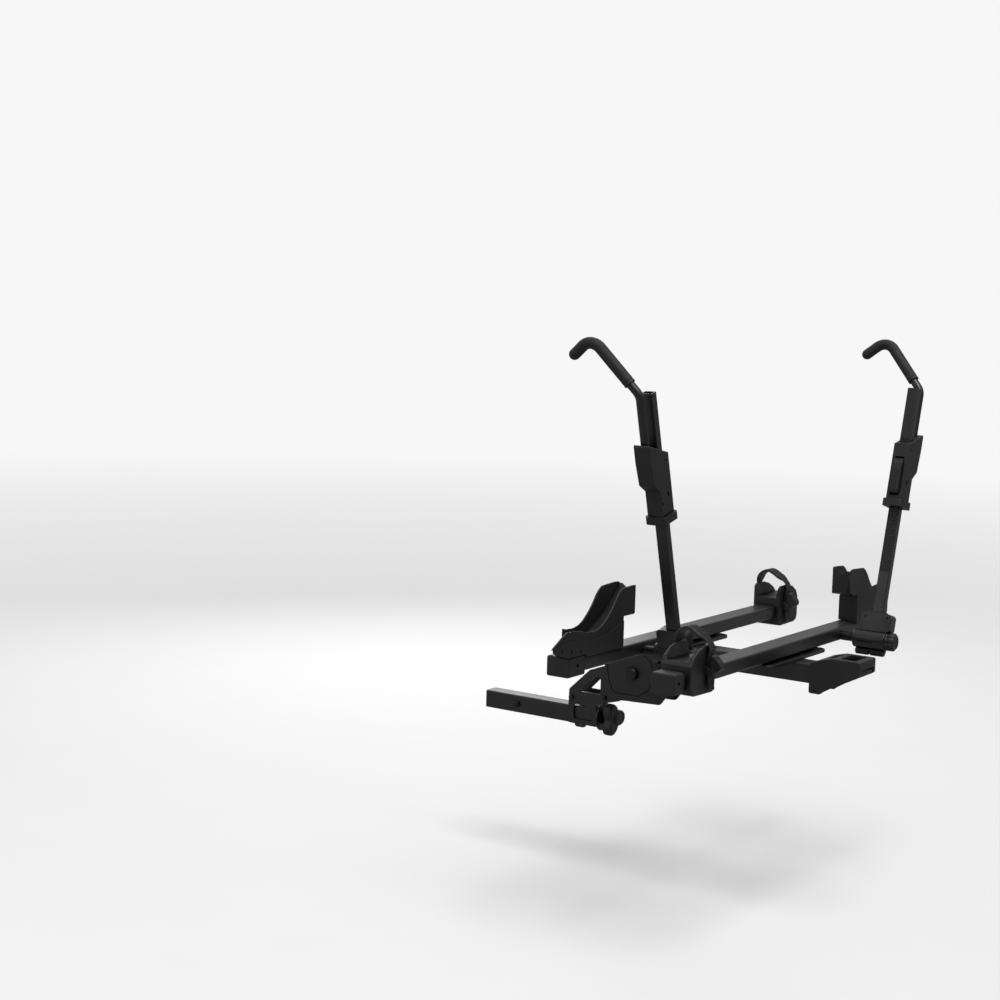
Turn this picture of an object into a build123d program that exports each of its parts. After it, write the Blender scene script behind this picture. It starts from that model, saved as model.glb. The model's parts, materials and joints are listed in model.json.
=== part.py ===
from build123d import *
from math import cos, hypot, radians, sin, sqrt
import os

os.makedirs("parts", exist_ok=True)

# Platform bike rack for a 2 in square hitch receiver, two bicycles.
# Frame, in mm: origin on the stinger's centre line at the retaining button,
# +Y towards the vehicle, +X to the right (looking along +Y), +Z up.
# "Outer" parts serve the bicycle further from the vehicle, "inner" ones the nearer.

CUT = Mode.SUBTRACT
RUN = 0.06                           # radial running clearance
BOLT_R, BOLT_HOLE_R = 4.0, 4.2       # M8
HEX_R = 7.5                          # bolt heads and nuts, to the corners

# stinger
STINGER_W = 50.8                     # square tube
STINGER_WALL = 4.8
STINGER_R = 5.0
STINGER_REAR, STINGER_FRONT = -274.0, 110.0
BUTTON_R = 7.8

# tilt pivot; places in its side view are (y, z)
PIVOT_Y, PIVOT_Z = -398.0, 149.0
PIVOT = (PIVOT_Y, PIVOT_Z)
PIVOT_R = 8.0
SECTOR_R = 46.0
PLATE_T = 6.0
BASE_X = STINGER_W / 2               # inner face of the base plates

# spine
SPINE_W, SPINE_H, SPINE_WALL = 64.0, 50.8, 4.0
SPINE_Z0 = 193.5
SPINE_Z1 = SPINE_Z0 + SPINE_H
SPINE_MID = (0, (SPINE_Z0 + SPINE_Z1) / 2)
SPINE_BORE_W, SPINE_BORE_H = SPINE_W - 2 * SPINE_WALL, SPINE_H - 2 * SPINE_WALL
SPINE_FRONT, SPINE_REAR = -427.0, -925.0
FORK_X = SPINE_W / 2                 # inner face of the spine's side plates
COVER_X = FORK_X + PLATE_T           # inner face of the covers
COVER_T = 10.0

# tray bars
OUTER_Y = -832.0                     # outer bicycle's wheel plane
PITCH = 295.0                        # distance between the two wheel planes
INNER_Y = OUTER_Y + PITCH
BAR_W, BAR_H, BAR_WALL = 60.0, 35.0, 3.0
BAR_BORE_W, BAR_BORE_H = BAR_W - 2 * BAR_WALL, BAR_H - 2 * BAR_WALL
BAR_Z0 = 258.5
BAR_Z1 = BAR_Z0 + BAR_H
BAR_MID_Z = (BAR_Z0 + BAR_Z1) / 2
BAR_LEFT, BAR_RIGHT = -640.0, 585.0  # left-hand end with its block, right-hand end of the tube
OUTER_BLOCK, INNER_BLOCK = 40.0, 72.0    # lengths of the left-hand end blocks

# wheels: 29 x 2.25 in
WHEEL_R = 368.0
WHEEL_Z = BAR_Z1 + 22.0 + WHEEL_R
REAR_HUB = (-506.0, WHEEL_Z)         # (x, z) of the outer bicycle's hubs
FRONT_HUB = (594.0, WHEEL_Z)
CHANNEL_R = WHEEL_R + 1.0            # tyre channel
CHANNEL_W = 58.0

# arm, in its own leaning frame: u outboard, y from the outer wheel plane, s up the mast
LEAN = 15.3
SHAFT_X, SHAFT_Z = 281.0, 270.5
SHAFT = (SHAFT_X, SHAFT_Z)
SHAFT_R = 12.5
BARREL_R = 25.5
MAST_Y = -126.0
MAST_W, MAST_D = 31.0, 22.0
MAST_S0, MAST_S1 = 32.0, 700.0
TOOTH_PITCH, TOOTH_S0, TOOTH_COUNT = 5.0, 185.0, 75
HOOK_U, HOOK_R, SLEEVE_R = 41.0, 11.0, 15.0

OUTBOARD = Vector(cos(radians(LEAN)), 0, -sin(radians(LEAN)))
UP_MAST = Vector(sin(radians(LEAN)), 0, cos(radians(LEAN)))
ARM_ORIGIN = Vector(SHAFT_X, OUTER_Y, SHAFT_Z)


# ---- planes -----------------------------------------------------------------
def facing_rear(y):
    """local (x, z), extrudes towards -Y"""
    return Plane.XZ.offset(-y)


def facing_right(x):
    """local (y, z), extrudes towards +X"""
    return Plane.YZ.offset(x)


def facing_up(z):
    """local (x, y), extrudes towards +Z"""
    return Plane.XY.offset(z)


def mast_section(height):
    """across the mast: local x = u, local y = world y less OUTER_Y"""
    return Plane(origin=ARM_ORIGIN + UP_MAST * height, x_dir=OUTBOARD, z_dir=UP_MAST)


def mast_side(y):
    """the mast's side view: local (u, s), extrudes towards -Y"""
    return Plane(origin=(SHAFT_X, OUTER_Y + y, SHAFT_Z), x_dir=OUTBOARD, z_dir=(0, -1, 0))


def mast_face(u):
    """facing outboard: local (y, s)"""
    return Plane(origin=ARM_ORIGIN + OUTBOARD * u, x_dir=(0, 1, 0), z_dir=OUTBOARD)


# ---- shapes drawn in the sketch that calls them -------------------------------
def outline(points, mode=Mode.ADD):
    Polygon(*points, align=None, mode=mode)


def circle_at(radius, *places, mode=Mode.ADD):
    with Locations(*places):
        Circle(radius, mode=mode)


def rectangle_at(width, height, *places, mode=Mode.ADD):
    with Locations(*places):
        Rectangle(width, height, mode=mode)


def rounded_at(width, height, radius, *places, mode=Mode.ADD):
    with Locations(*places):
        RectangleRounded(width, height, radius, mode=mode)


# ---- placing and writing ------------------------------------------------------
def write(builder, label):
    builder.part.label = label
    export_step(builder.part, f"parts/{label}.step")


def write_left_right(left, name):
    """a left-hand piece and its mirror image"""
    write(left, f"{name}_left")
    with BuildPart() as right:
        add(mirror(left.part, about=Plane.YZ, mode=Mode.PRIVATE))
    write(right, f"{name}_right")


def inner_of(part):
    """mirrored in the rack's middle plane, one pitch nearer the vehicle"""
    return Pos(0, PITCH, 0) * mirror(part, about=Plane.YZ)


def write_solid(solid, label):
    with BuildPart() as piece:
        add(solid)
    write(piece, label)


def write_outer_inner(outer, name):
    """an outer piece and its counterpart for the inner bicycle"""
    write(outer, f"outer_{name}")
    write_solid(inner_of(outer.part), f"inner_{name}")


def write_together(outer, label):
    """the outer and inner pieces in one file"""
    inner = inner_of(outer.part)
    with BuildPart() as both:
        add(outer.part)
        add(inner)
    write(both, label)


# ===========================================================================
# Hitch base
# ===========================================================================
SHOE_Y0, SHOE_Y1 = -56.0, -16.0      # window for the wedge shoe

with BuildPart() as stinger:
    with BuildSketch(facing_rear(STINGER_FRONT)):
        RectangleRounded(STINGER_W, STINGER_W, STINGER_R)
        Rectangle(STINGER_W - 2 * STINGER_WALL, STINGER_W - 2 * STINGER_WALL, mode=CUT)
    extrude(amount=STINGER_FRONT - STINGER_REAR)
    # hole for the retaining button, left wall
    with BuildSketch(facing_right(-STINGER_W / 2 - 1)):
        Circle(BUTTON_R + 0.3)
    extrude(amount=STINGER_WALL + 2, mode=CUT)
    # window for the anti-rattle shoe in the lower wall
    with BuildSketch(facing_up(-STINGER_W / 2 - 1)):
        rectangle_at(25, SHOE_Y1 - SHOE_Y0, (0, (SHOE_Y0 + SHOE_Y1) / 2))
    extrude(amount=STINGER_WALL + 2, mode=CUT)
write(stinger, "stinger")

# (y, z)
BASE_PLATE = [
    (-178, -24), (-181, 73), (-247, 135), (-285, 150), (-340, 164), (-374, 186),
    (-398, 149), (-425, 112), (-345, 60), (-300, 48), (-272, 34), (-272, -24)]
BASE_WINDOW = [(-216, 70), (-274, 128), (-284, 112), (-284, 70)]
CROSS_BOLTS = ((-190.0, 50.0), (-298.0, 62.0))
NOTCH_W = 16.0
NOTCH_TILTS = (90, 0, -30)           # stowed, level and tilted down
CABLE_EYE_Y = -184.0


def notch(tilt):
    """place of a locking notch on the sector's rim for a platform tilted by so many degrees"""
    angle = 180.0 - tilt
    reach = SECTOR_R + 2
    y = PIVOT_Y + reach * cos(radians(angle))
    z = PIVOT_Z + reach * sin(radians(angle))
    return Location((y, z, 0), (0, 0, angle))


with BuildPart() as base_plate_left:
    with BuildSketch(facing_right(-BASE_X - PLATE_T)):
        outline(BASE_PLATE)
        circle_at(SECTOR_R, PIVOT)
        circle_at(PIVOT_R + 0.02, PIVOT, mode=CUT)
        for tilt in NOTCH_TILTS:
            rectangle_at(NOTCH_W, NOTCH_W, notch(tilt), mode=CUT)
        # lightening window and side window
        outline(BASE_WINDOW, mode=CUT)
        rounded_at(62, 44, 8, (-228, 10), mode=CUT)
        circle_at(BOLT_HOLE_R, *CROSS_BOLTS, mode=CUT)
    extrude(amount=PLATE_T)
    fillet(base_plate_left.edges().filter_by(Axis.X).group_by(Axis.Y)[-1], 8)
write(base_plate_left, "base_plate_left")

with BuildPart() as base_plate_right:
    add(mirror(base_plate_left.part, about=Plane.YZ, mode=Mode.PRIVATE))
    # cable eye on the lower edge
    with BuildSketch(facing_right(BASE_X)):
        rounded_at(36, 32, 9, (CABLE_EYE_Y, -32))
        circle_at(5, (CABLE_EYE_Y, -37), mode=CUT)
    extrude(amount=PLATE_T)
write(base_plate_right, "base_plate_right")

# clamping: end plate, collar, knob and draw rod on the stinger's centre line
ROD_R = 5.0                          # draw rod
ROD_BORE_R = ROD_R + RUN
COLLAR_L = 16.0
COLLAR_Y = STINGER_REAR - 5.2        # 0.2 behind the end plate
KNOB_Y = COLLAR_Y - COLLAR_L
KNOB_L = 28.0
KNOB_LOBE = 29.0                     # lobe centres from the axis
ROD_FRONT = -20.0

with BuildPart() as stinger_end_plate:
    with BuildSketch(facing_rear(STINGER_REAR)):
        Circle(38)
        Circle(ROD_BORE_R, mode=CUT)
    extrude(amount=5)
    rear_circles = stinger_end_plate.faces().sort_by(Axis.Y)[0].edges().filter_by(GeomType.CIRCLE)
    fillet(rear_circles.sort_by(SortBy.RADIUS)[-1], 2)
write(stinger_end_plate, "stinger_end_plate")

# cross bolts with spacer tubes between the base plates
BASE_OUT_X = BASE_X + PLATE_T        # outer face of the base plates
NUT_T = 5.5

with BuildPart() as base_bolts:
    with BuildSketch(facing_right(-BASE_X)):
        circle_at(9, *CROSS_BOLTS)
    extrude(amount=2 * BASE_X)
    with BuildSketch(facing_right(-BASE_OUT_X - 6)):
        circle_at(BOLT_R, *CROSS_BOLTS)
    extrude(amount=2 * (BASE_OUT_X + 6))
    for x in (-BASE_OUT_X - NUT_T, BASE_OUT_X):
        with BuildSketch(facing_right(x)):
            with Locations(*CROSS_BOLTS):
                RegularPolygon(HEX_R, 6)
                Circle(BOLT_R - 0.01, mode=CUT)
        extrude(amount=NUT_T)
write(base_bolts, "base_bolts")

BUSH_FLANGE_T = 1.5
HEAD_X0 = COVER_X + BUSH_FLANGE_T + 0.1  # inner face of the pivot bolt's heads
HEAD_X1 = 60.0

with BuildPart() as pivot_bolt:
    with BuildSketch(facing_right(-52)):
        circle_at(PIVOT_R, PIVOT)
    extrude(amount=104)
    # round-edged heads standing out of the covers
    for x in (-HEAD_X1, HEAD_X0):
        with BuildSketch(facing_right(x)):
            circle_at(16.0, PIVOT)
        extrude(amount=HEAD_X1 - HEAD_X0)
    head_rims = pivot_bolt.edges().filter_by(GeomType.CIRCLE)
    fillet(head_rims.filter_by(lambda e: abs(abs(e.center().X) - HEAD_X1) < 0.01), 3)
write(pivot_bolt, "pivot_bolt")

with BuildPart() as knob_collar:
    for radius, length in ((13, COLLAR_L), (19, 6)):
        with BuildSketch(facing_rear(COLLAR_Y)):
            Circle(radius)
            Circle(ROD_BORE_R, mode=CUT)
        extrude(amount=length)
write(knob_collar, "knob_collar")

with BuildPart() as hitch_knob:
    with BuildSketch(facing_rear(KNOB_Y)):
        Circle(24)
        for angle in (0, 120, 240):
            x, z = KNOB_LOBE * cos(radians(angle)), KNOB_LOBE * sin(radians(angle))
            with Locations(Location((x, z, 0), (0, 0, angle))):
                SlotOverall(40, 37)
        Circle(ROD_BORE_R, mode=CUT)
    extrude(amount=KNOB_L)
    # cap over the rod's end
    with BuildSketch(facing_rear(KNOB_Y - KNOB_L)):
        Circle(14)
    extrude(amount=4)
write(hitch_knob, "hitch_knob")

with BuildPart() as draw_rod:
    with BuildSketch(facing_rear(ROD_FRONT)):
        Circle(ROD_R)
    extrude(amount=ROD_FRONT - KNOB_Y + 26)
    chamfer(draw_rod.faces().sort_by(Axis.Y)[-1].edges(), 1)
write(draw_rod, "draw_rod")

# wedge nut on the draw rod and the shoe it pushes out of the stinger, both (y, z)
WEDGE_NUT = [(-50, 12), (-26, 12), (-26, -8), (-50, -16)]
WEDGE_SHOE = [(-55.5, -25.4), (-16.5, -25.4), (-16.5, -5.43), (-55.5, -18.43)]

with BuildPart() as wedge_nut:
    with BuildSketch(facing_right(-11)):
        outline(WEDGE_NUT)
    extrude(amount=22)
    with BuildSketch(facing_rear(ROD_FRONT)):
        Circle(ROD_BORE_R)
    extrude(amount=40, mode=CUT)
write(wedge_nut, "wedge_nut")

with BuildPart() as wedge_shoe:
    with BuildSketch(facing_right(-12)):
        outline(WEDGE_SHOE)
    extrude(amount=24)
write(wedge_shoe, "wedge_shoe")

with BuildPart() as hitch_button:
    with BuildSketch(facing_right(-STINGER_W / 2 - 9)):
        Circle(BUTTON_R)
    extrude(amount=8)
    chamfer(hitch_button.faces().sort_by(Axis.X)[0].edges(), 1)
    # thinner neck inside the wall
    with BuildSketch(facing_right(-STINGER_W / 2 - 1)):
        Circle(BUTTON_R - 0.2)
    extrude(amount=8)
write(hitch_button, "hitch_button")

# V-shaped leaf inside the stinger, (x, y)
BUTTON_SPRING = [
    (-17.2, -9), (-15.8, -9), (-15.8, 9), (-1, 78), (1, 78), (15.8, 9),
    (15.8, -9), (17.2, -9), (17.2, 10), (3, 80.5), (-3, 80.5), (-17.2, 10)]

with BuildPart() as button_spring:
    with BuildSketch(facing_up(-6)):
        outline(BUTTON_SPRING)
    extrude(amount=12)
write(button_spring, "button_spring")

# ===========================================================================
# Platform: spine, fork plates, covers, locking linkage; outlines are (y, z)
# ===========================================================================
PAWL = (-452.0, 178.0)               # pawl's pin
HUB = (-945.0, 182.0)                # tilt lever's pin
PIN_R = 4.0
BUSH_R = 11.0
PUSH_ROD = (0, 213.0)                # (x, z)
PUSH_ROD_R = 4.0

with BuildPart() as spine:
    with BuildSketch(facing_rear(SPINE_FRONT)):
        rounded_at(SPINE_W, SPINE_H, 5, SPINE_MID)
        rounded_at(SPINE_BORE_W, SPINE_BORE_H, 2, SPINE_MID, mode=CUT)
    extrude(amount=SPINE_FRONT - SPINE_REAR)
    # slot for the pawl's arm in the lower wall, at the front end
    with BuildSketch(facing_up(SPINE_Z0 - 1)):
        rectangle_at(20, 46, (0, SPINE_FRONT - 21))
    extrude(amount=SPINE_WALL + 2, mode=CUT)
write(spine, "spine")

SIDE_PLATE = [
    (-318, 72), (-330, 68), (-480, 76), (-497, 100), (-497, 205), (-470, 236),
    (-432, 238), (-392, 205), (-330, 190), (-312, 172), (-310, 84)]
COVER = [
    (-312, 78), (-322, 67), (-484, 73), (-503, 99), (-503, 205), (-472, 238),
    (-425, 242), (-385, 212), (-330, 198), (-306, 172), (-306, 92)]
COVER_PANEL = [
    (-337, 89), (-416, 89), (-447, 108), (-464, 145), (-454, 183),
    (-428, 205), (-392, 205), (-330, 186), (-315, 160), (-324, 119)]
COVER_SCREWS = ((-330, 90), (-480, 95), (-480, 215))
COVER_SCREW_R = 2.6
COVER_WALL = 3.0
COVER_CORNER_R, PANEL_CORNER_R = 6, 9
GROOVE_W, GROOVE_DEPTH = 3.0, 2.0

with BuildPart() as side_plate_left:
    with BuildSketch(facing_right(-COVER_X)):
        outline(SIDE_PLATE)
        circle_at(BUSH_R + 0.02, PIVOT, mode=CUT)
        circle_at(PIN_R + 0.02, PAWL, mode=CUT)
        circle_at(COVER_SCREW_R, *COVER_SCREWS, mode=CUT)
    extrude(amount=PLATE_T)
write_left_right(side_plate_left, "side_plate")

with BuildPart() as pivot_cover_left:
    with BuildSketch(facing_right(-COVER_X)) as body:
        outline(COVER)
        fillet(body.vertices(), COVER_CORNER_R)
    extrude(amount=-COVER_T)
    # hollow behind the face
    with BuildSketch(facing_right(-COVER_X)) as hollow:
        outline(COVER)
        fillet(hollow.vertices(), COVER_CORNER_R)
        offset(amount=-COVER_WALL)
    extrude(amount=-(COVER_T - COVER_WALL), mode=CUT)
    # groove round the face panel: the wider outline is sunk, then the panel put back
    with BuildSketch(facing_right(-COVER_X - COVER_T)) as groove:
        outline(COVER_PANEL)
        fillet(groove.vertices(), PANEL_CORNER_R)
        offset(amount=GROOVE_W)
    extrude(amount=GROOVE_DEPTH, mode=CUT)
    with BuildSketch(facing_right(-COVER_X - COVER_T + GROOVE_DEPTH)) as panel:
        outline(COVER_PANEL)
        fillet(panel.vertices(), PANEL_CORNER_R)
    extrude(amount=-GROOVE_DEPTH)
    # screw bosses
    with BuildSketch(facing_right(-COVER_X)):
        with Locations(*COVER_SCREWS):
            Circle(5)
            Circle(COVER_SCREW_R, mode=CUT)
    extrude(amount=-(COVER_T - COVER_WALL))
    # opening for the pivot bolt's head
    with BuildSketch(facing_right(-COVER_X)):
        circle_at(16.6, PIVOT)
    extrude(amount=-(COVER_T + 1), mode=CUT)
write_left_right(pivot_cover_left, "pivot_cover")

# each bush has a sleeve in the side plate and a flange outside it
with BuildPart() as pivot_bushes:
    for x, radius, length in (
            (-COVER_X, BUSH_R, PLATE_T), (FORK_X, BUSH_R, PLATE_T),
            (-COVER_X - BUSH_FLANGE_T, 14.0, BUSH_FLANGE_T), (COVER_X, 14.0, BUSH_FLANGE_T)):
        with BuildSketch(facing_right(x)):
            with Locations(PIVOT):
                Circle(radius)
                Circle(PIVOT_R + 0.05, mode=CUT)
        extrude(amount=length)
write(pivot_bushes, "pivot_bushes")

# pawl that drops into the base plates' notches
PAWL_TOOTH = [
    (-445.3, 144.5), (-445.3, 151.5), (-448.5, 156), (-448.5, 171),
    (-460.5, 176), (-458, 150), (-455, 144.5)]
PAWL_ARM = [(-456, 183), (-448, 183), (-448, 221), (-456, 221)]
PAWL_HALF = 31.4                     # half its width

with BuildPart() as lock_pawl:
    with BuildSketch(facing_right(-PAWL_HALF)):
        circle_at(9, PAWL)
        outline(PAWL_TOOTH)
        circle_at(PIN_R + RUN, PAWL, mode=CUT)
    extrude(amount=2 * PAWL_HALF)
    # relieve the hub to the right of the middle so that the spring has room
    with BuildSketch(facing_right(10)):
        rectangle_at(30, 30, (PAWL[0], PAWL[1] + 6))
    extrude(amount=14, mode=CUT)
    with BuildSketch(facing_right(-7)):
        outline(PAWL_ARM)
    extrude(amount=14)
write(lock_pawl, "lock_pawl")

with BuildPart() as linkage_pins:
    for place, half_length in ((PAWL, 37.9), (HUB, 52)):
        with BuildSketch(facing_right(-half_length)):
            circle_at(PIN_R, place)
        extrude(amount=2 * half_length)
write(linkage_pins, "linkage_pins")

with BuildPart() as pawl_spring:
    with BuildLine() as coil:
        Helix(pitch=2.2, height=11, radius=6.2, center=(11.5, *PAWL), direction=(1, 0, 0))
    with BuildSketch(Plane(origin=coil.line @ 0, z_dir=coil.line % 0)):
        Circle(0.7)
    sweep()
write(pawl_spring, "pawl_spring")

PUSH_FRONT, PUSH_REAR = -457.5, -939.0
PUSH_HEAD_L = 5.0

with BuildPart() as push_rod:
    with BuildSketch(facing_rear(PUSH_FRONT)):
        circle_at(PUSH_ROD_R, PUSH_ROD)
    extrude(amount=PUSH_FRONT - PUSH_REAR)
    # a head at each end
    for y in (PUSH_FRONT, PUSH_REAR + PUSH_HEAD_L):
        with BuildSketch(facing_rear(y)):
            circle_at(6.5, PUSH_ROD)
        extrude(amount=PUSH_HEAD_L)
write(push_rod, "push_rod")

with BuildPart() as rod_guides:
    for y in (-520.0, -740.0):
        with BuildSketch(facing_rear(y)):
            rounded_at(SPINE_BORE_W - 0.4, SPINE_BORE_H - 0.4, 2, SPINE_MID)
            circle_at(PUSH_ROD_R + RUN, PUSH_ROD, mode=CUT)
        extrude(amount=14)
write(rod_guides, "rod_guides")

# handle at the rear end of the spine
HANDLE = [
    (-925, 176), (-929, 172.5), (-955, 172.5), (-962, 178), (-984, 191), (-1058, 229),
    (-1064, 234), (-1064, 268), (-1060, 270.5), (-985, 270.5), (-950, 262), (-925, 250)]
HANDLE_HOLLOW = [
    (-929, 168), (-929, 246), (-950, 258), (-1060.5, 264),
    (-1060.5, 226), (-984, 186), (-957, 168)]
HANDLE_HALF = 50.0                   # half widths of the handle and its hollow
HOLLOW_HALF = 38.0

with BuildPart() as handle_housing:
    with BuildSketch(facing_right(-HANDLE_HALF)):
        outline(HANDLE)
    extrude(amount=2 * HANDLE_HALF)
    fillet(handle_housing.edges().filter_by(
        lambda e: abs(abs(e.center().X) - HANDLE_HALF) < 0.01), 2.5)
    # hollow for the lever, open below
    with BuildSketch(facing_right(-HOLLOW_HALF)):
        outline(HANDLE_HOLLOW)
    extrude(amount=2 * HOLLOW_HALF, mode=CUT)
    # gap in the rear wall for the lever's end
    with BuildSketch(facing_rear(-1055)):
        rectangle_at(2 * HOLLOW_HALF, 20, (0, 238))
    extrude(amount=20, mode=CUT)
    # finger openings in the top
    with BuildSketch(facing_up(250)):
        rounded_at(74, 20, 6, (0, -976))
        rounded_at(74, 44, 8, (0, -1026))
    extrude(amount=30, mode=CUT)
    # plug into the spine, opened for the push rod
    with BuildSketch(facing_rear(SPINE_REAR + 20)):
        rounded_at(SPINE_BORE_W - 0.6, SPINE_BORE_H - 0.6, 2, SPINE_MID)
    extrude(amount=20)
    with BuildSketch(facing_rear(SPINE_REAR + 21)):
        rounded_at(44, 34, 3, SPINE_MID)
    extrude(amount=30, mode=CUT)
    # bore for the lever's pin
    with BuildSketch(facing_right(-53)):
        circle_at(PIN_R + 0.05, HUB)
    extrude(amount=106, mode=CUT)
write(handle_housing, "handle_housing")

TILT_LEVER = [
    (-945, 174.2), (-956, 177.5), (-984, 192.8), (-1057, 229), (-1062, 233),
    (-1062, 243), (-1054, 243), (-984, 206), (-952, 189)]
TILT_ARM = [(-949, 189), (-941, 189), (-941, 221), (-949, 221)]

with BuildPart() as tilt_lever:
    with BuildSketch(facing_right(-35)):
        circle_at(8, HUB)
        outline(TILT_LEVER)
        circle_at(PIN_R + RUN, HUB, mode=CUT)
    extrude(amount=70)
    with BuildSketch(facing_right(-8)):
        outline(TILT_ARM)
    extrude(amount=16)
write(tilt_lever, "tilt_lever")

# ===========================================================================
# Trays: bars, caps, wing plates, fasteners
# ===========================================================================
BOLT_X = (-135.0, -60.0, 60.0, 135.0)
OUTER_BOLTS = [(x, OUTER_Y) for x in BOLT_X]
CUP_SCREW_X = 540.0                  # outer front cup's screw; the inner one is mirrored
SCREW_R, SCREW_HOLE_R = 3.0, 3.2


def build_bar(label, bar_y, block_length, screw_x):
    left = BAR_LEFT + block_length
    with BuildPart() as bar:
        with BuildSketch(facing_right(left)):
            rounded_at(BAR_W, BAR_H, 5, (bar_y, BAR_MID_Z))
            rounded_at(BAR_BORE_W, BAR_BORE_H, 2.5, (bar_y, BAR_MID_Z), mode=CUT)
        extrude(amount=BAR_RIGHT - left)
        # bolt holes in the lower wall
        with BuildSketch(facing_up(BAR_Z0 - 1)):
            circle_at(BOLT_HOLE_R, *[(x, bar_y) for x in BOLT_X])
        extrude(amount=BAR_WALL + 2, mode=CUT)
        # cup's screw hole in the upper wall
        with BuildSketch(facing_up(BAR_Z1 - BAR_WALL - 1)):
            circle_at(SCREW_HOLE_R, (screw_x, bar_y))
        extrude(amount=BAR_WALL + 2, mode=CUT)
    write(bar, label)


build_bar("outer_bar", OUTER_Y, OUTER_BLOCK, CUP_SCREW_X)
build_bar("inner_bar", INNER_Y, INNER_BLOCK, -CUP_SCREW_X)

BLOCK_Z0, BLOCK_Z1, BLOCK_W = 250.0, 301.0, 66.0
PLUG_L = 20.0                        # how far the caps reach into the bars

with BuildPart() as bar_end_caps:
    for y, length in ((OUTER_Y, OUTER_BLOCK), (INNER_Y, INNER_BLOCK)):
        # block at the left-hand end
        with BuildSketch(facing_right(BAR_LEFT)):
            rounded_at(BLOCK_W, BLOCK_Z1 - BLOCK_Z0, 6, (y, (BLOCK_Z0 + BLOCK_Z1) / 2))
        extrude(amount=length)
        with BuildSketch(facing_right(BAR_LEFT + length)):
            rounded_at(BAR_BORE_W - 0.4, BAR_BORE_H - 0.4, 2, (y, BAR_MID_Z))
        extrude(amount=PLUG_L)
        # flush plug at the right-hand end
        with BuildSketch(facing_right(BAR_RIGHT)):
            rounded_at(BAR_W, BAR_H, 5, (y, BAR_MID_Z))
        extrude(amount=4)
        with BuildSketch(facing_right(BAR_RIGHT - PLUG_L)):
            rounded_at(BAR_BORE_W - 0.4, BAR_BORE_H - 0.4, 2, (y, BAR_MID_Z))
        extrude(amount=PLUG_L)
    fillet(bar_end_caps.edges().filter_by(lambda e: abs(e.center().X - BAR_LEFT) < 0.01), 4)
    # screw recess in the rear face of each block
    for y, x in ((OUTER_Y, -620), (INNER_Y, -600)):
        with BuildSketch(facing_rear(y - BLOCK_W / 2)):
            circle_at(5, (x, 277))
        extrude(amount=-4, mode=CUT)
write(bar_end_caps, "bar_end_caps")

WING_L, WING_W = 332.0, 84.0
WING_Z1 = SPINE_Z1 + 8.0

with BuildPart() as outer_wing_plate:
    with BuildSketch(facing_up(SPINE_Z1)):
        rounded_at(WING_L, WING_W, 22, (0, OUTER_Y))
    extrude(amount=WING_Z1 - SPINE_Z1)
    fillet(outer_wing_plate.edges().filter_by(lambda e: e.center().Z > WING_Z1 - 0.01), 1.5)
    # raised bosses that carry the bar
    with BuildSketch(facing_up(WING_Z1)):
        circle_at(13, *OUTER_BOLTS)
    extrude(amount=BAR_Z0 - WING_Z1)
    with BuildSketch(facing_up(SPINE_Z1 - 1)):
        circle_at(BOLT_HOLE_R, *OUTER_BOLTS)
    extrude(amount=20, mode=CUT)
write_outer_inner(outer_wing_plate, "wing_plate")

BAR_BOLT_TOP = 272.0
BAR_HEX_T = 6.0

with BuildPart() as outer_bolts:
    for x in BOLT_X:
        # hexagon head below the wing plate, shank, nut inside the bar
        with BuildSketch(facing_up(SPINE_Z1 - BAR_HEX_T)):
            with Locations((x, OUTER_Y)):
                RegularPolygon(HEX_R, 6)
        extrude(amount=BAR_HEX_T)
        with BuildSketch(facing_up(SPINE_Z1)):
            circle_at(BOLT_R, (x, OUTER_Y))
        extrude(amount=BAR_BOLT_TOP - SPINE_Z1)
        with BuildSketch(facing_up(BAR_Z0 + BAR_WALL)):
            with Locations((x, OUTER_Y)):
                RegularPolygon(HEX_R, 6)
        extrude(amount=BAR_HEX_T)
write_together(outer_bolts, "bar_bolts")

# ---- front wheel cup, outlines (x, z) ---------------------------------------
CUP = [
    (362, 293.5), (566, 293.5), (566, 301.2), (645, 301.2), (716, 325), (718, 331),
    (657, 363), (625, 364), (589, 360), (556, 353), (529, 352), (503, 357),
    (483, 367), (461, 384), (441, 404), (425, 424), (404, 441), (396, 444),
    (322, 448), (311, 442), (308, 428), (316, 384), (340, 374), (356, 330)]
CUP_SKIRT = [
    (362, 293.5), (566, 293.5), (566, 301.2), (645, 301.2), (716, 325), (718, 331),
    (660, 340), (615, 340), (575, 335), (538, 333), (500, 335), (465, 341),
    (430, 350), (398, 360), (347, 369), (356, 330)]
CUP_HALF, SKIRT_HALF = 32.5, 34.5    # half widths
CUP_HOLLOW = [(404, 290), (560, 290), (560, 330), (404, 425)]
CUP_SCREW = (CUP_SCREW_X, OUTER_Y)
# tyre channel's floor over the screw
CUP_FLOOR = WHEEL_Z - sqrt(CHANNEL_R ** 2 - (CUP_SCREW_X - FRONT_HUB[0]) ** 2)
# oblique cuts in plan: bottom z, height, then (x, y from the wheel plane)
CUP_END_CUTS = (
    (373, 90, [(295, -36), (307.5, -36), (338.5, 36), (295, 36)]),     # lobe
    (289, 84, [(335, -36), (360.5, -36), (392, 36), (335, 36)]),       # foot
    (289, 120, [(566, -36), (735, -36), (735, 40), (728, 40)]))        # outboard end

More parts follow.
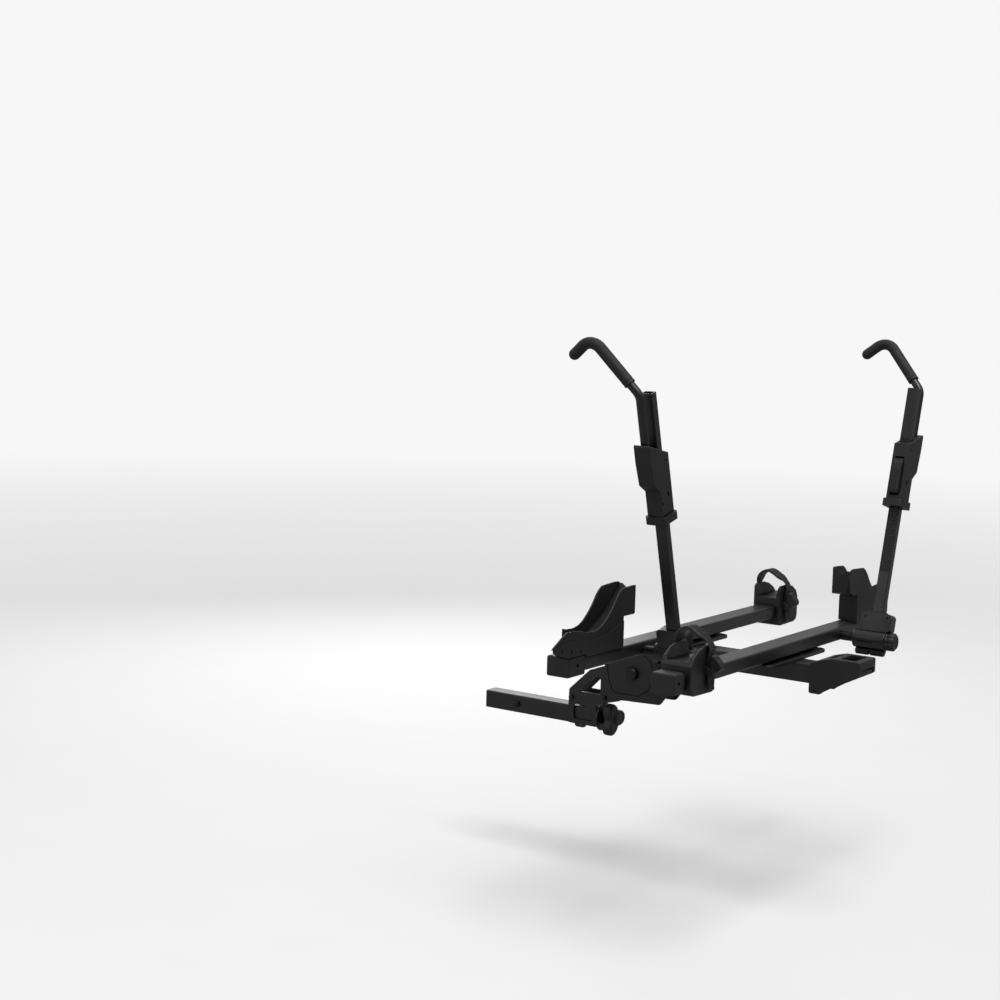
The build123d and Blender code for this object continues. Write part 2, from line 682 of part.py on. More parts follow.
with BuildPart() as outer_front_cup:
    with BuildSketch(facing_rear(OUTER_Y)):
        outline(CUP)
    extrude(amount=CUP_HALF, both=True)
    with BuildSketch(facing_rear(OUTER_Y)):
        outline(CUP_SKIRT)
    extrude(amount=SKIRT_HALF, both=True)
    # tyre channel
    with BuildSketch(facing_rear(OUTER_Y)):
        circle_at(CHANNEL_R, FRONT_HUB)
    extrude(amount=CHANNEL_W / 2, both=True, mode=CUT)
    # hollow underside with two cross ribs and a screw pillar
    with BuildSketch(facing_rear(OUTER_Y)):
        outline(CUP_HOLLOW)
        circle_at(CHANNEL_R + 5, FRONT_HUB, mode=CUT)
        rectangle_at(3, 150, (430, 340), (500, 340), mode=CUT)
        rectangle_at(22, 150, (CUP_SCREW_X, 340), mode=CUT)
    extrude(amount=27, both=True, mode=CUT)
    # three drain slots in the vehicle-side wall
    with BuildSketch(facing_rear(OUTER_Y + SKIRT_HALF)):
        with Locations((590, 311), (632, 315), (675, 322)):
            SlotOverall(12, 4, rotation=80)
    extrude(amount=3.6, mode=CUT)
    for z, height, corners in CUP_END_CUTS:
        with BuildSketch(facing_up(z)):
            outline([(x, OUTER_Y + y) for x, y in corners])
        extrude(amount=height, mode=CUT)
    # screw hole and counterbore
    with BuildSketch(facing_up(280)):
        circle_at(SCREW_HOLE_R, CUP_SCREW)
    extrude(amount=60, mode=CUT)
    with BuildSketch(facing_up(CUP_FLOOR - 3.3)):
        circle_at(7, CUP_SCREW)
    extrude(amount=12, mode=CUT)
write(outer_front_cup, "outer_front_cup")
# the inner cup is turned half round, not mirrored
write_solid(Pos(0, INNER_Y + OUTER_Y, 0) * Rot(0, 0, 180) * outer_front_cup.part,
            "inner_front_cup")

CUP_SCREW_Z0 = 286.0
CUP_SCREW_Z1 = CUP_FLOOR - 3.2       # underside of the head

with BuildPart() as outer_cup_screw:
    with BuildSketch(facing_up(CUP_SCREW_Z0)):
        circle_at(SCREW_R, CUP_SCREW)
    extrude(amount=CUP_SCREW_Z1 - CUP_SCREW_Z0)
    with BuildSketch(facing_up(CUP_SCREW_Z1)):
        circle_at(6.5, CUP_SCREW)
    extrude(amount=2.6)
write_together(outer_cup_screw, "cup_screws")

# ---- rear wheel cradle, strap and buckle --------------------------------------
# (x, z)
CRADLE = [
    (-574, 243), (-560, 238), (-474, 236), (-463, 240), (-461, 252), (-461, 346),
    (-468, 353), (-516, 353), (-545, 346), (-569, 331), (-580, 312), (-580, 256)]
CRADLE_HALF = 42.0                   # half its width
CRADLE_CUT_X, CRADLE_CUT_L = -585.0, 130.0   # cuts along its whole length
STRAP_X, STRAP_W = -498.0, 25.0
STRAP_X0, STRAP_X1 = STRAP_X - STRAP_W / 2, STRAP_X + STRAP_W / 2
EAR_OUT = 4.2                        # ears' and buckle pin's reach beside the strap
BUCKLE_PIN = (OUTER_Y - 57.0, 291.5)
BUCKLE_PIN_R = 2.5


def from_outer(points):
    """(y from the outer wheel plane, z) as (y, z)"""
    return [(OUTER_Y + y, z) for y, z in points]


# (y from the wheel plane, z)
CRADLE_MOUTH = from_outer([(-30, 322), (-38, 356), (38, 356), (30, 322)])
CRADLE_EAR = from_outer([(-42, 284), (-42, 306), (-58, 298), (-63, 293), (-63, 289), (-58, 285)])
STRAP = from_outer([
    (44.6, 300), (44.6, 350), (34, 381), (8, 393), (-20, 380), (-40, 366),
    (-50, 350), (-46.5, 325), (-46.5, 295), (-50, 268), (-54, 246)])
BUCKLE = from_outer([
    (-53, 293), (-51.5, 330), (-58, 333), (-80, 313), (-82, 305), (-79, 297), (-60, 287.5)])

with BuildPart() as outer_rear_cup:
    with BuildSketch(facing_rear(OUTER_Y)):
        outline(CRADLE)
    extrude(amount=CRADLE_HALF, both=True)
    fillet(outer_rear_cup.edges().filter_by(
        lambda e: abs(abs(e.center().Y - OUTER_Y) - CRADLE_HALF) < 0.01), 3)
    with BuildSketch(facing_rear(OUTER_Y)):
        circle_at(CHANNEL_R, REAR_HUB)
    extrude(amount=30, both=True, mode=CUT)
    # flared mouth
    with BuildSketch(facing_right(CRADLE_CUT_X)):
        outline(CRADLE_MOUTH)
    extrude(amount=CRADLE_CUT_L, mode=CUT)
    # passage for the bar
    with BuildSketch(facing_right(CRADLE_CUT_X)):
        rounded_at(BAR_W + 1.0, BAR_H + 1.0, 5, (OUTER_Y, BAR_MID_Z))
    extrude(amount=CRADLE_CUT_L, mode=CUT)
    # ears for the buckle on the rear-facing wall
    for x in (STRAP_X0 - EAR_OUT, STRAP_X1 + 0.7):
        with BuildSketch(facing_right(x)):
            outline(CRADLE_EAR)
            circle_at(BUCKLE_PIN_R + RUN, BUCKLE_PIN, mode=CUT)
        extrude(amount=3.5)
write_outer_inner(outer_rear_cup, "rear_cup")

with BuildPart() as outer_rear_strap:
    with BuildSketch(facing_right(STRAP_X0)):
        with BuildLine():
            Spline(*STRAP, tangents=((0, 1), (-0.2, -1)))
        trace(line_width=3.6)
    extrude(amount=STRAP_W)
write_outer_inner(outer_rear_strap, "rear_strap")

with BuildPart() as outer_buckle:
    with BuildSketch(facing_right(STRAP_X0)):
        circle_at(5, BUCKLE_PIN)
        outline(BUCKLE)
    extrude(amount=STRAP_W)
    with BuildSketch(facing_right(STRAP_X0 - EAR_OUT)):
        circle_at(BUCKLE_PIN_R, BUCKLE_PIN)
    extrude(amount=STRAP_W + 2 * EAR_OUT)
write_outer_inner(outer_buckle, "buckle")

# ===========================================================================
# Hook arms
# ===========================================================================
with BuildPart() as outer_shaft:
    with BuildSketch(facing_rear(OUTER_Y - BAR_W / 2)):
        with Locations(SHAFT):
            Circle(SHAFT_R)
            Circle(8, mode=CUT)
    extrude(amount=128)
write_together(outer_shaft, "arm_shafts")

BARREL_Y = OUTER_Y - 69              # front end of the barrel
BARREL_L = 92.0
KNOB_FRONT_Y = BARREL_Y - BARREL_L   # end knob sits against the barrel
RAIL_Z = SHAFT_Z - 26                # fold latch's rail

with BuildPart() as outer_arm_shoe:
    with BuildSketch(facing_rear(BARREL_Y)):
        circle_at(BARREL_R, SHAFT)
    extrude(amount=BARREL_L)
    fillet(outer_arm_shoe.edges().filter_by(GeomType.CIRCLE), 2)
    # bracket plate that holds the mast's foot
    with BuildSketch(mast_face(-16)) as bracket:
        rectangle_at(88, 50, (-127, 47))
        fillet(bracket.vertices().group_by(Axis.Z)[-1], 11)
    extrude(amount=32)
    with BuildSketch(mast_face(-14)):
        rectangle_at(78, 20, (-122, 15))
    extrude(amount=28)
    with BuildSketch(mast_section(MAST_S0)):
        rectangle_at(MAST_D + 0.2, MAST_W + 0.2, (0, MAST_Y))
    extrude(amount=60, mode=CUT)
    # room for the end knob
    with BuildSketch(facing_rear(KNOB_FRONT_Y)):
        circle_at(BARREL_R + 0.7, SHAFT)
    extrude(amount=20, mode=CUT)
    # corner reliefs in the plate
    with BuildSketch(mast_face(-16)):
        circle_at(3.5, (-96, 60), (-160, 60))
    extrude(amount=2.5, mode=CUT)
    # bore for the shaft
    with BuildSketch(facing_rear(OUTER_Y - 60)):
        circle_at(SHAFT_R + 0.05, SHAFT)
    extrude(amount=100, mode=CUT)
    # long recess on the barrel's inboard side
    with BuildSketch(facing_right(SHAFT_X - BARREL_R - 1)):
        with Locations((OUTER_Y - 108, SHAFT_Z - 4)):
            SlotOverall(44, 4)
    extrude(amount=3.5, mode=CUT)
    # rail for the fold latch
    with BuildSketch(facing_rear(OUTER_Y - 74)):
        rectangle_at(11, 9, (SHAFT_X, RAIL_Z))
    extrude(amount=84)
write_outer_inner(outer_arm_shoe, "arm_shoe")

# cut that leaves the teeth on the mast's inboard face, (u, s)
tooth_cut = [(-12.5, TOOTH_S0)]
for k in range(TOOTH_COUNT):
    start = TOOTH_S0 + k * TOOTH_PITCH
    tooth_cut += [
        (-11.0, start + 0.001), (-11.0, start + 2.2), (-9.2, start + 2.6),
        (-9.2, start + 4.7), (-11.0, start + 4.999)]
tooth_cut += [(-12.5, TOOTH_S0 + TOOTH_COUNT * TOOTH_PITCH)]

with BuildPart() as outer_mast:
    with BuildSketch(mast_side(MAST_Y)):
        rectangle_at(MAST_D, MAST_S1 - MAST_S0, (0, (MAST_S0 + MAST_S1) / 2))
    extrude(amount=MAST_W / 2, both=True)
    fillet(outer_mast.edges().filter_by(lambda e: e.length > 500), 2)
    # bore, open at the top
    with BuildSketch(mast_section(MAST_S0 + 8)):
        rounded_at(MAST_D - 6.2, MAST_W - 6, 1.5, (0.6, MAST_Y))
    extrude(amount=MAST_S1, mode=CUT)
    with BuildSketch(mast_side(MAST_Y)):
        outline(tooth_cut)
    extrude(amount=13, both=True, mode=CUT)
write_outer_inner(outer_mast, "mast")

END_KNOB_L = 22.0
GRIP_COUNT, GRIP_RING_R = 10, 26.5   # round grooves in the knob's rim
CORE_R = 7.0                         # lock core

with BuildPart() as outer_end_knob:
    with BuildSketch(facing_rear(KNOB_FRONT_Y)):
        circle_at(25, SHAFT)
        for i in range(GRIP_COUNT):
            angle = radians(360 / GRIP_COUNT * i)
            circle_at(4.2, (SHAFT_X + GRIP_RING_R * cos(angle),
                            SHAFT_Z + GRIP_RING_R * sin(angle)), mode=CUT)
    extrude(amount=END_KNOB_L)
    with BuildSketch(facing_rear(KNOB_FRONT_Y - END_KNOB_L)):
        circle_at(20, SHAFT)
    extrude(amount=4, taper=20)
    with BuildSketch(facing_rear(OUTER_Y - 170)):
        circle_at(CORE_R + RUN, SHAFT)
    extrude(amount=30, mode=CUT)
write_outer_inner(outer_end_knob, "end_knob")

CORE_FRONT_Y = OUTER_Y - 170.5
CORE_L = 15.5

with BuildPart() as outer_lock_core:
    with BuildSketch(facing_rear(CORE_FRONT_Y)):
        circle_at(CORE_R, SHAFT)
    extrude(amount=CORE_L)
    # keyway
    with BuildSketch(facing_rear(CORE_FRONT_Y - CORE_L)):
        rectangle_at(2, 8, SHAFT)
    extrude(amount=-8, mode=CUT)
write_outer_inner(outer_lock_core, "lock_core")

# finger tabs, distances behind the wheel plane
FRONT_TAB, REAR_TAB = (75, 111), (118, 154)

with BuildPart() as outer_fold_latch:
    with BuildSketch(facing_rear(OUTER_Y - FRONT_TAB[0])):
        rectangle_at(24, 10, (SHAFT_X, SHAFT_Z - 32))
        rectangle_at(11.4, 9.6, (SHAFT_X, RAIL_Z), mode=CUT)
    extrude(amount=REAR_TAB[1] - FRONT_TAB[0])
    # two finger tabs, slotted, with a gap between them
    for front, rear in (FRONT_TAB, REAR_TAB):
        with BuildSketch(facing_rear(OUTER_Y - front)):
            rectangle_at(16, 7, (SHAFT_X, SHAFT_Z - 39))
        extrude(amount=rear - front)
    with BuildSketch(facing_right(SHAFT_X - 14)):
        with Locations((OUTER_Y - 93, SHAFT_Z - 39.5), (OUTER_Y - 136, SHAFT_Z - 39.5)):
            SlotOverall(20, 2.6)
    extrude(amount=28, mode=CUT)
    with BuildSketch(facing_rear(OUTER_Y - FRONT_TAB[1])):
        rectangle_at(8, 8, (SHAFT_X - 9, SHAFT_Z - 34), (SHAFT_X + 9, SHAFT_Z - 34))
    extrude(amount=REAR_TAB[0] - FRONT_TAB[1], mode=CUT)
write_outer_inner(outer_fold_latch, "fold_latch")

# ---- slider, outlines (u, s) --------------------------------------------------
TRUNNION = (-20.0, 475.0)            # release lever's
TRUNNION_R = 4.0
SLIDER = [
    (-27, 386), (-27, 540), (59, 583), (61, 578),
    (61, 536), (55, 476), (30, 452), (30, 386)]
SLIDER_HALF = 22.5                   # half its width

with BuildPart() as outer_slider:
    with BuildSketch(mast_side(MAST_Y)):
        outline(SLIDER)
    extrude(amount=SLIDER_HALF, both=True)
    fillet(outer_slider.edges().filter_by(
        lambda e: abs(abs(e.center().Y - OUTER_Y - MAST_Y) - SLIDER_HALF) < 0.01), 3)
    # collar at the foot
    with BuildSketch(mast_section(366)):
        rounded_at(68, 58, 9, (0.5, MAST_Y))
    extrude(amount=20)
    # the mast's channel
    with BuildSketch(mast_section(350)):
        rectangle_at(MAST_D + 1, MAST_W + 1, (0, MAST_Y))
    extrude(amount=240, mode=CUT)
    # socket for the hook
    with BuildSketch(mast_section(476)):
        circle_at(HOOK_R + 0.1, (HOOK_U, MAST_Y))
    extrude(amount=120, mode=CUT)
    # pocket for the release lever
    with BuildSketch(mast_side(MAST_Y)):
        rectangle_at(20, 108, (-21, 450))
    extrude(amount=13.2, both=True, mode=CUT)
    with BuildSketch(mast_side(MAST_Y)):
        circle_at(TRUNNION_R + RUN, TRUNNION)
    extrude(amount=17, both=True, mode=CUT)
    # screw recesses in the rear-facing side
    with BuildSketch(mast_side(MAST_Y - SLIDER_HALF)):
        circle_at(3.2, (-8, 526), (22, 420))
        rectangle_at(8, 12, (-6, 437))
    extrude(amount=-3, mode=CUT)
write_outer_inner(outer_slider, "slider")

# ---- hook, path points (y, s) -------------------------------------------------
HOOK_FOOT, HOOK_BEND = (MAST_Y, 478), (MAST_Y, 704)
HOOK_CROWN, HOOK_TIP = (-6, 846), (45, 804)
HOOK_BEND_R = 36
SLEEVE_START = 36                    # from the bend's corner, towards the crown


def along(start, end, distance):
    """the point so far from start on the line towards end"""
    dx, dy = end[0] - start[0], end[1] - start[1]
    length = hypot(dx, dy)
    return (start[0] + dx / length * distance, start[1] + dy / length * distance)


with BuildPart() as outer_hook_bar:
    with BuildLine(mast_face(HOOK_U)) as hook_path:
        FilletPolyline(HOOK_FOOT, HOOK_BEND, HOOK_CROWN, HOOK_TIP, radius=HOOK_BEND_R)
    with BuildSketch(Plane(origin=hook_path.line @ 0, z_dir=hook_path.line % 0)):
        Circle(HOOK_R)
        Circle(HOOK_R - 2.5, mode=CUT)
    sweep()
write_outer_inner(outer_hook_bar, "hook_bar")

# rubber sleeve over the hook, closed at the tip
sleeve_start = along(HOOK_BEND, HOOK_CROWN, SLEEVE_START)
sleeve_tip = along(HOOK_TIP, HOOK_CROWN, -4)
BORE_TIP = (45.5, 803.6)             # just past the hook's tip

with BuildPart() as outer_hook_sleeve:
    with BuildLine(mast_face(HOOK_U)) as sleeve_path:
        FilletPolyline(sleeve_start, HOOK_CROWN, sleeve_tip, radius=HOOK_BEND_R)
    with BuildSketch(Plane(origin=sleeve_path.line @ 0, z_dir=sleeve_path.line % 0)):
        Circle(SLEEVE_R)
    sweep()
    with Locations(Location(mast_face(HOOK_U).from_local_coords((*sleeve_tip, 0)))):
        Sphere(SLEEVE_R)
    with BuildLine(mast_face(HOOK_U)) as bore_path:
        FilletPolyline(HOOK_BEND, HOOK_CROWN, BORE_TIP, radius=HOOK_BEND_R)
    with BuildSketch(Plane(origin=bore_path.line @ 0, z_dir=bore_path.line % 0)):
        Circle(HOOK_R + 0.06)
    sweep(path=bore_path.line, mode=CUT)
write_outer_inner(outer_hook_sleeve, "hook_sleeve")

# ---- release lever, outlines (u, s) -------------------------------------------
TIP_S = TOOTH_S0 + 50 * TOOTH_PITCH + 3.65   # lever's tooth, engaged in the strip
RELEASE_LEVER = [
    (-33, 402), (-36, 410), (-36, 468), (-34, 484), (-30, 495), (-24, 500),
    (-20, 484), (-16, 478), (-16, 470), (-20, 462), (-19, TIP_S + 5),
    (-9.6, TIP_S + 0.7), (-9.6, TIP_S - 0.7), (-21, TIP_S - 5), (-24, 402)]
TOOTH_ROOT = [(-16, TIP_S + 4.5), (-19, TIP_S + 5), (-21, TIP_S - 5), (-16, TIP_S - 3.6)]
TOOTH_TIP = [
    (-16.1, TIP_S + 3.6), (-9.6, TIP_S + 0.7), (-9.6, TIP_S - 0.7), (-16.1, TIP_S - 3.2)]

with BuildPart() as outer_release_lever:
    with BuildSketch(mast_side(MAST_Y)):
        outline(RELEASE_LEVER)
    extrude(amount=12.5, both=True)
    # the tooth is cut off and put back narrower, to stay inside the toothed strip
    with BuildSketch(mast_side(MAST_Y)):
        rectangle_at(10, 14, (-11, TIP_S))
    extrude(amount=20, both=True, mode=CUT)
    with BuildSketch(mast_side(MAST_Y)):
        outline(TOOTH_ROOT)
        outline(TOOTH_TIP)
    extrude(amount=9.4, both=True)
    with BuildSketch(mast_side(MAST_Y)):
        circle_at(TRUNNION_R, TRUNNION)
    extrude(amount=16.8, both=True)
write_outer_inner(outer_release_lever, "release_lever")
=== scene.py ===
"""Looks for a two-tray hitch bicycle rack.

The hitch is at the origin and the rack reaches out along -Y. The trays run along X, the outer one
at the lowest Y. On the outer tray the strap is at -X, and the hooked arm leans towards +X.
Pieces are drawn in millimetres; the stage, lights and camera are in metres, +Z up.
"""
import json
import math
import bpy
import bmesh
from mathutils import Vector, Matrix


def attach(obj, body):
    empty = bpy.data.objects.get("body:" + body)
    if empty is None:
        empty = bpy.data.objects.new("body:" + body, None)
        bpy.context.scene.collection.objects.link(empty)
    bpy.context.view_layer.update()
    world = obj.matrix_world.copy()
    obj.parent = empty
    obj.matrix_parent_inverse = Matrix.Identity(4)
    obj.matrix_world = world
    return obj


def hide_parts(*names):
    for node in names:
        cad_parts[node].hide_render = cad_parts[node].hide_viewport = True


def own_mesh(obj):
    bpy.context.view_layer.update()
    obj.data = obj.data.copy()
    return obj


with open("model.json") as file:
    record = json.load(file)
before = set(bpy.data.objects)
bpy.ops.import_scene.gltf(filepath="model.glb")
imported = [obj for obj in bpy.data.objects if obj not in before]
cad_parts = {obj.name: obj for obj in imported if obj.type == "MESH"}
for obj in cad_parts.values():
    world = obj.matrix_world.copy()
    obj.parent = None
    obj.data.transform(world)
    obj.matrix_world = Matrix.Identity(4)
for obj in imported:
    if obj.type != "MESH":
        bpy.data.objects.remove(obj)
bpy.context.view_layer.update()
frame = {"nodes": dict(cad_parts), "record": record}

NODES = frame["nodes"]
SCENE = bpy.context.scene

# ---------------------------------------------------------------- driving sizes, mm
TRAY_Y = -832.0             # centre line of the outer tray
TRAY_PITCH = 295.0          # from the outer tray to the inner one
STRAP_X = -498.0
STRAP_HALF_WIDTH = 12.5
ARM_X, ARM_Z = 281.0, 270.5  # foot of the outer arm, on the axis of its end knob
ARM_LEAN = math.radians(15.3)

# ---------------------------------------------------------------- shader helpers
MIX_FACTOR, MIX_A, MIX_B, MIX_RESULT = 0, 6, 7, 2   # colour sockets of a Mix node


class Graph:
    """Short ways to add and link the nodes of one tree; an input takes a value or a socket."""

    def __init__(self, tree):
        self.tree = tree

    def node(self, kind, inputs=None, **settings):
        made = self.tree.nodes.new("ShaderNode" + kind)
        for name, value in settings.items():
            setattr(made, name, value)
        for key, value in (inputs or {}).items():
            self.feed(made.inputs[key], value)
        return made

    def feed(self, socket, value):
        if isinstance(value, bpy.types.NodeSocket):
            self.tree.links.new(value, socket)
        else:
            socket.default_value = value

    def remap(self, source, span, to=(0.0, 1.0)):
        return self.node("MapRange", {
            "Value": source, "From Min": span[0], "From Max": span[1],
            "To Min": to[0], "To Max": to[1]}).outputs["Result"]

    def noise(self, position, scale, detail=3.0, roughness=0.55):
        return self.node("TexNoise", {
            "Vector": position, "Scale": scale, "Detail": detail,
            "Roughness": roughness}).outputs["Fac"]

    def mix(self, factor, a, b):
        return self.node("Mix", {MIX_FACTOR: factor, MIX_A: a, MIX_B: b},
                         data_type="RGBA").outputs[MIX_RESULT]

    def mix_shader(self, factor, a, b):
        return self.node("MixShader", {0: factor, 1: a, 2: b}).outputs[0]

    def calc(self, operation, a, b):
        return self.node("Math", {0: a, 1: b}, operation=operation).outputs[0]

    def dot(self, a, b):
        return self.node("VectorMath", {0: a, 1: b}, operation="DOT_PRODUCT").outputs["Value"]


def new_material(name):
    material = bpy.data.materials.new(name)
    material.use_nodes = True
    material.node_tree.nodes.clear()
    return material, Graph(material.node_tree)


def tinted(colour, factor):
    return tuple(min(1.0, c * factor) for c in colour) + (1.0,)


# ---------------------------------------------------------------- finishes
MATERIALS = {}
DUST_COLOUR = (0.16, 0.155, 0.15, 1.0)


def grain_height(graph, position, grain, cells, brushed):
    """Height of the fine surface relief: cells, stretched brush marks or plain noise."""
    if cells:
        return graph.node("TexVoronoi", {"Scale": grain, "Vector": position}).outputs["Distance"]
    if brushed:
        stretched = graph.node("Mapping", {"Scale": brushed, "Vector": position}).outputs[0]
        return graph.noise(stretched, scale=1.0, detail=3.0, roughness=0.6)
    return graph.noise(position, scale=grain, detail=2.0, roughness=0.5)


def make_finish(name, base, worn_and_highlight, rough, *, rough_var=0.10, metallic=0.0, spec=0.5,
                grain=1500.0, grain_mm=0.02, cells=False, brushed=None,
                mottle=14.0, mottle_amt=0.25, edge=0.6, radius=0.0014,
                coat=0.0, coat_rough=0.3, sheen=0.0, dust=0.0):
    """A finish with rounded edges, fine grain, broad mottling, rubbed edges that also carry a
    painted edge highlight, and painted shade in crevices.

    base, worn_and_highlight: colours of the surface and of its rubbed edges, which are lightened
    partly as a painted edge highlight; edge: strength of the rubbing and the painted edge
    highlight
    grain, mottle: texture scales; grain_mm: relief height; brushed: scale along each axis
    radius: edge rounding in metres; dust: film on faces that look up
    """
    material, graph = new_material(name)
    position = graph.node("TexCoord").outputs["Object"]
    geometry = graph.node("NewGeometry")
    rounded = graph.node("Bevel", {"Radius": radius}, samples=4).outputs[0]
    # ambient occlusion, used below to paint shade into crevices
    occlusion = graph.node("AmbientOcclusion", {"Distance": 0.016}, samples=6).outputs["AO"]
    unshaded = graph.remap(occlusion, span=(0.30, 0.88))

    # edges lighten where the rounded normal leaves the face: rubbed in patches, plus a painted
    # edge highlight at about a third strength along every edge; never in crevices
    on_edge = graph.remap(graph.dot(rounded, geometry.outputs["True Normal"]), span=(0.995, 0.86))
    patches = graph.remap(graph.noise(position, scale=55.0, detail=4.0), span=(0.42, 0.62))
    patches = graph.remap(patches, span=(0.0, 1.0), to=(0.35, 1.0))
    wear_and_highlight = graph.calc("MULTIPLY", graph.calc("MULTIPLY", on_edge, patches), edge)
    wear_and_highlight = graph.calc("MULTIPLY", wear_and_highlight, unshaded)

    mottling = graph.remap(graph.noise(position, scale=mottle, detail=5.0, roughness=0.6),
                           span=(0.3, 0.7))
    colour = graph.mix(mottling, tinted(base, 1 - mottle_amt), tinted(base, 1 + mottle_amt))
    if dust:
        normal = graph.node("SeparateXYZ", {0: geometry.outputs["Normal"]})
        film = graph.calc("MULTIPLY", graph.remap(normal.outputs["Z"], span=(0.3, 1.0)), dust)
        specks = graph.noise(position, scale=30.0, detail=6.0, roughness=0.7)
        film = graph.calc("MULTIPLY", film, graph.remap(specks, span=(0.35, 0.75), to=(0.3, 1.0)))
        colour = graph.mix(film, colour, DUST_COLOUR)
    # painted highlight and rubbing: the edge colour lightens every edge, more strongly in the
    # rubbed patches
    colour = graph.mix(wear_and_highlight, colour, worn_and_highlight + (1.0,))
    # painted shade: crevices darken towards a quarter of the base colour, by the occlusion
    colour = graph.mix(unshaded, tinted(base, 0.25), colour)

    # painted shade: crevices also get less specular reflection, scaled by the occlusion
    open_light = graph.remap(occlusion, span=(0.25, 0.85), to=(0.12, 1.0))
    fine = graph.noise(position, scale=grain * 0.25, detail=4.0, roughness=0.6)
    fine = graph.remap(fine, span=(0.25, 0.75), to=(rough - rough_var, rough + rough_var))
    smears = graph.remap(graph.noise(position, scale=9.0), span=(0.35, 0.65), to=(-0.05, 0.05))
    relief = graph.node("Bump", {
        "Strength": 1.0, "Distance": grain_mm / 1000.0, "Normal": rounded,
        "Height": grain_height(graph, position, grain, cells, brushed)})

    surface = graph.node("BsdfPrincipled", {
        "Base Color": colour,
        "Specular IOR Level": graph.calc("MULTIPLY", open_light, spec),
        "Roughness": graph.calc("ADD", fine, smears),
        "Metallic": metallic,
        "Coat Weight": coat,
        "Coat Roughness": coat_rough,
        "Normal": relief.outputs[0]})
    if sheen:
        surface.inputs["Sheen Weight"].default_value = sheen
        surface.inputs["Sheen Roughness"].default_value = 0.4
    graph.node("OutputMaterial", {0: surface.outputs[0]})
    MATERIALS[name] = material


# satin coat with a slight orange peel
make_finish("powder_coat", base=(0.0075, 0.0076, 0.0082), worn_and_highlight=(0.085, 0.085, 0.09), rough=0.38,
            grain=850.0, grain_mm=0.045, edge=0.55, radius=0.0012, coat=0.12, coat_rough=0.28,
            mottle_amt=0.15, dust=0.05)
# nylon with a leathery grain
make_finish("moulded_plastic", base=(0.0100, 0.0100, 0.0105), worn_and_highlight=(0.050, 0.050, 0.052),
            rough=0.50, grain=1400.0, grain_mm=0.07, cells=True, edge=0.5, radius=0.0018,
            spec=0.45, mottle_amt=0.12, dust=0.06)
# dull, slightly dusty rubber
make_finish("hook_rubber", base=(0.0140, 0.0140, 0.0143), worn_and_highlight=(0.035, 0.035, 0.035), rough=0.66,
            grain=1900.0, grain_mm=0.05, edge=0.3, radius=0.0015, spec=0.35, mottle_amt=0.2,
            dust=0.08, sheen=0.15)
make_finish("strap", base=(0.0070, 0.0070, 0.0073), worn_and_highlight=(0.045, 0.045, 0.046), rough=0.46,
            grain=1600.0, grain_mm=0.03, edge=0.5, radius=0.0006, mottle_amt=0.15, dust=0.05,
            sheen=0.08)
make_finish("zinc_steel", base=(0.46, 0.47, 0.49), worn_and_highlight=(0.62, 0.62, 0.63), rough=0.34,
            rough_var=0.08, metallic=1.0, grain=900.0, grain_mm=0.015, brushed=(400, 60, 400),
            edge=0.4, radius=0.0006, mottle=60.0, mottle_amt=0.18)
make_finish("spring_steel", base=(0.30, 0.30, 0.31), worn_and_highlight=(0.5, 0.5, 0.5), rough=0.38,
            metallic=1.0, grain=900.0, grain_mm=0.01, brushed=(90, 500, 500),
            edge=0.3, radius=0.0004, mottle=80.0, mottle_amt=0.2)
make_finish("bearing_plastic", base=(0.055, 0.055, 0.058), worn_and_highlight=(0.12, 0.12, 0.12), rough=0.42,
            grain=1200.0, edge=0.4, radius=0.0008, mottle_amt=0.1)
# blackened metal parts that show on the outside
make_finish("black_steel", base=(0.030, 0.030, 0.032), worn_and_highlight=(0.22, 0.22, 0.23), rough=0.34,
            metallic=0.85, grain=700.0, grain_mm=0.012, brushed=(300, 300, 60),
            edge=0.8, radius=0.0008, mottle=40.0, mottle_amt=0.25)

BLACK_STEEL_NODES = {
    "base_bolts", "bar_bolts", "pivot_bolt", "arm_shafts", "linkage_pins", "hitch_button",
    "outer_lock_core", "inner_lock_core", "knob_collar"}


def dress_cad_pieces():
    slots = {part["node"]: part["material_slot"] for part in frame["record"]["subparts"]}
    for name, obj in NODES.items():
        finish = "black_steel" if name in BLACK_STEEL_NODES else slots.get(name, "powder_coat")
        material = MATERIALS[finish]
        if not obj.data.materials:
            obj.data.materials.append(material)
        for slot in obj.material_slots:
            slot.material = material


dress_cad_pieces()


# ---------------------------------------------------------------- mesh helpers
def link_object(name, data):
    obj = bpy.data.objects.new(name, data)
    SCENE.collection.objects.link(obj)
    return obj


def add_piece(name, skin, finish, smooth=True):
    verts, faces = skin
    mesh = bpy.data.meshes.new(name)
    mesh.from_pydata([tuple(v) for v in verts], [], faces)
    mesh.validate()
    bm = bmesh.new()
    bm.from_mesh(mesh)
    bmesh.ops.recalc_face_normals(bm, faces=bm.faces)
    bm.to_mesh(mesh)
    bm.free()
    for face in mesh.polygons:
        face.use_smooth = smooth
    mesh.materials.append(MATERIALS[finish])
    return link_object(name, mesh)


def fit(obj, body, replaced=None):
    """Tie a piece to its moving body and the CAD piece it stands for."""
    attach(obj, body)
    if replaced:
        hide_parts(replaced)


def loft(rings):
    """Skin over rings of equal length, closed at both ends."""
    count = len(rings[0])
    verts = [v for ring in rings for v in ring]
    faces = []
    for i in range(len(rings) - 1):
        for j in range(count):
            a, b = i * count + j, i * count + (j + 1) % count
            faces.append((a, b, b + count, a + count))
    faces.append(tuple(reversed(range(count))))
    faces.append(tuple((len(rings) - 1) * count + j for j in range(count)))
    return verts, faces


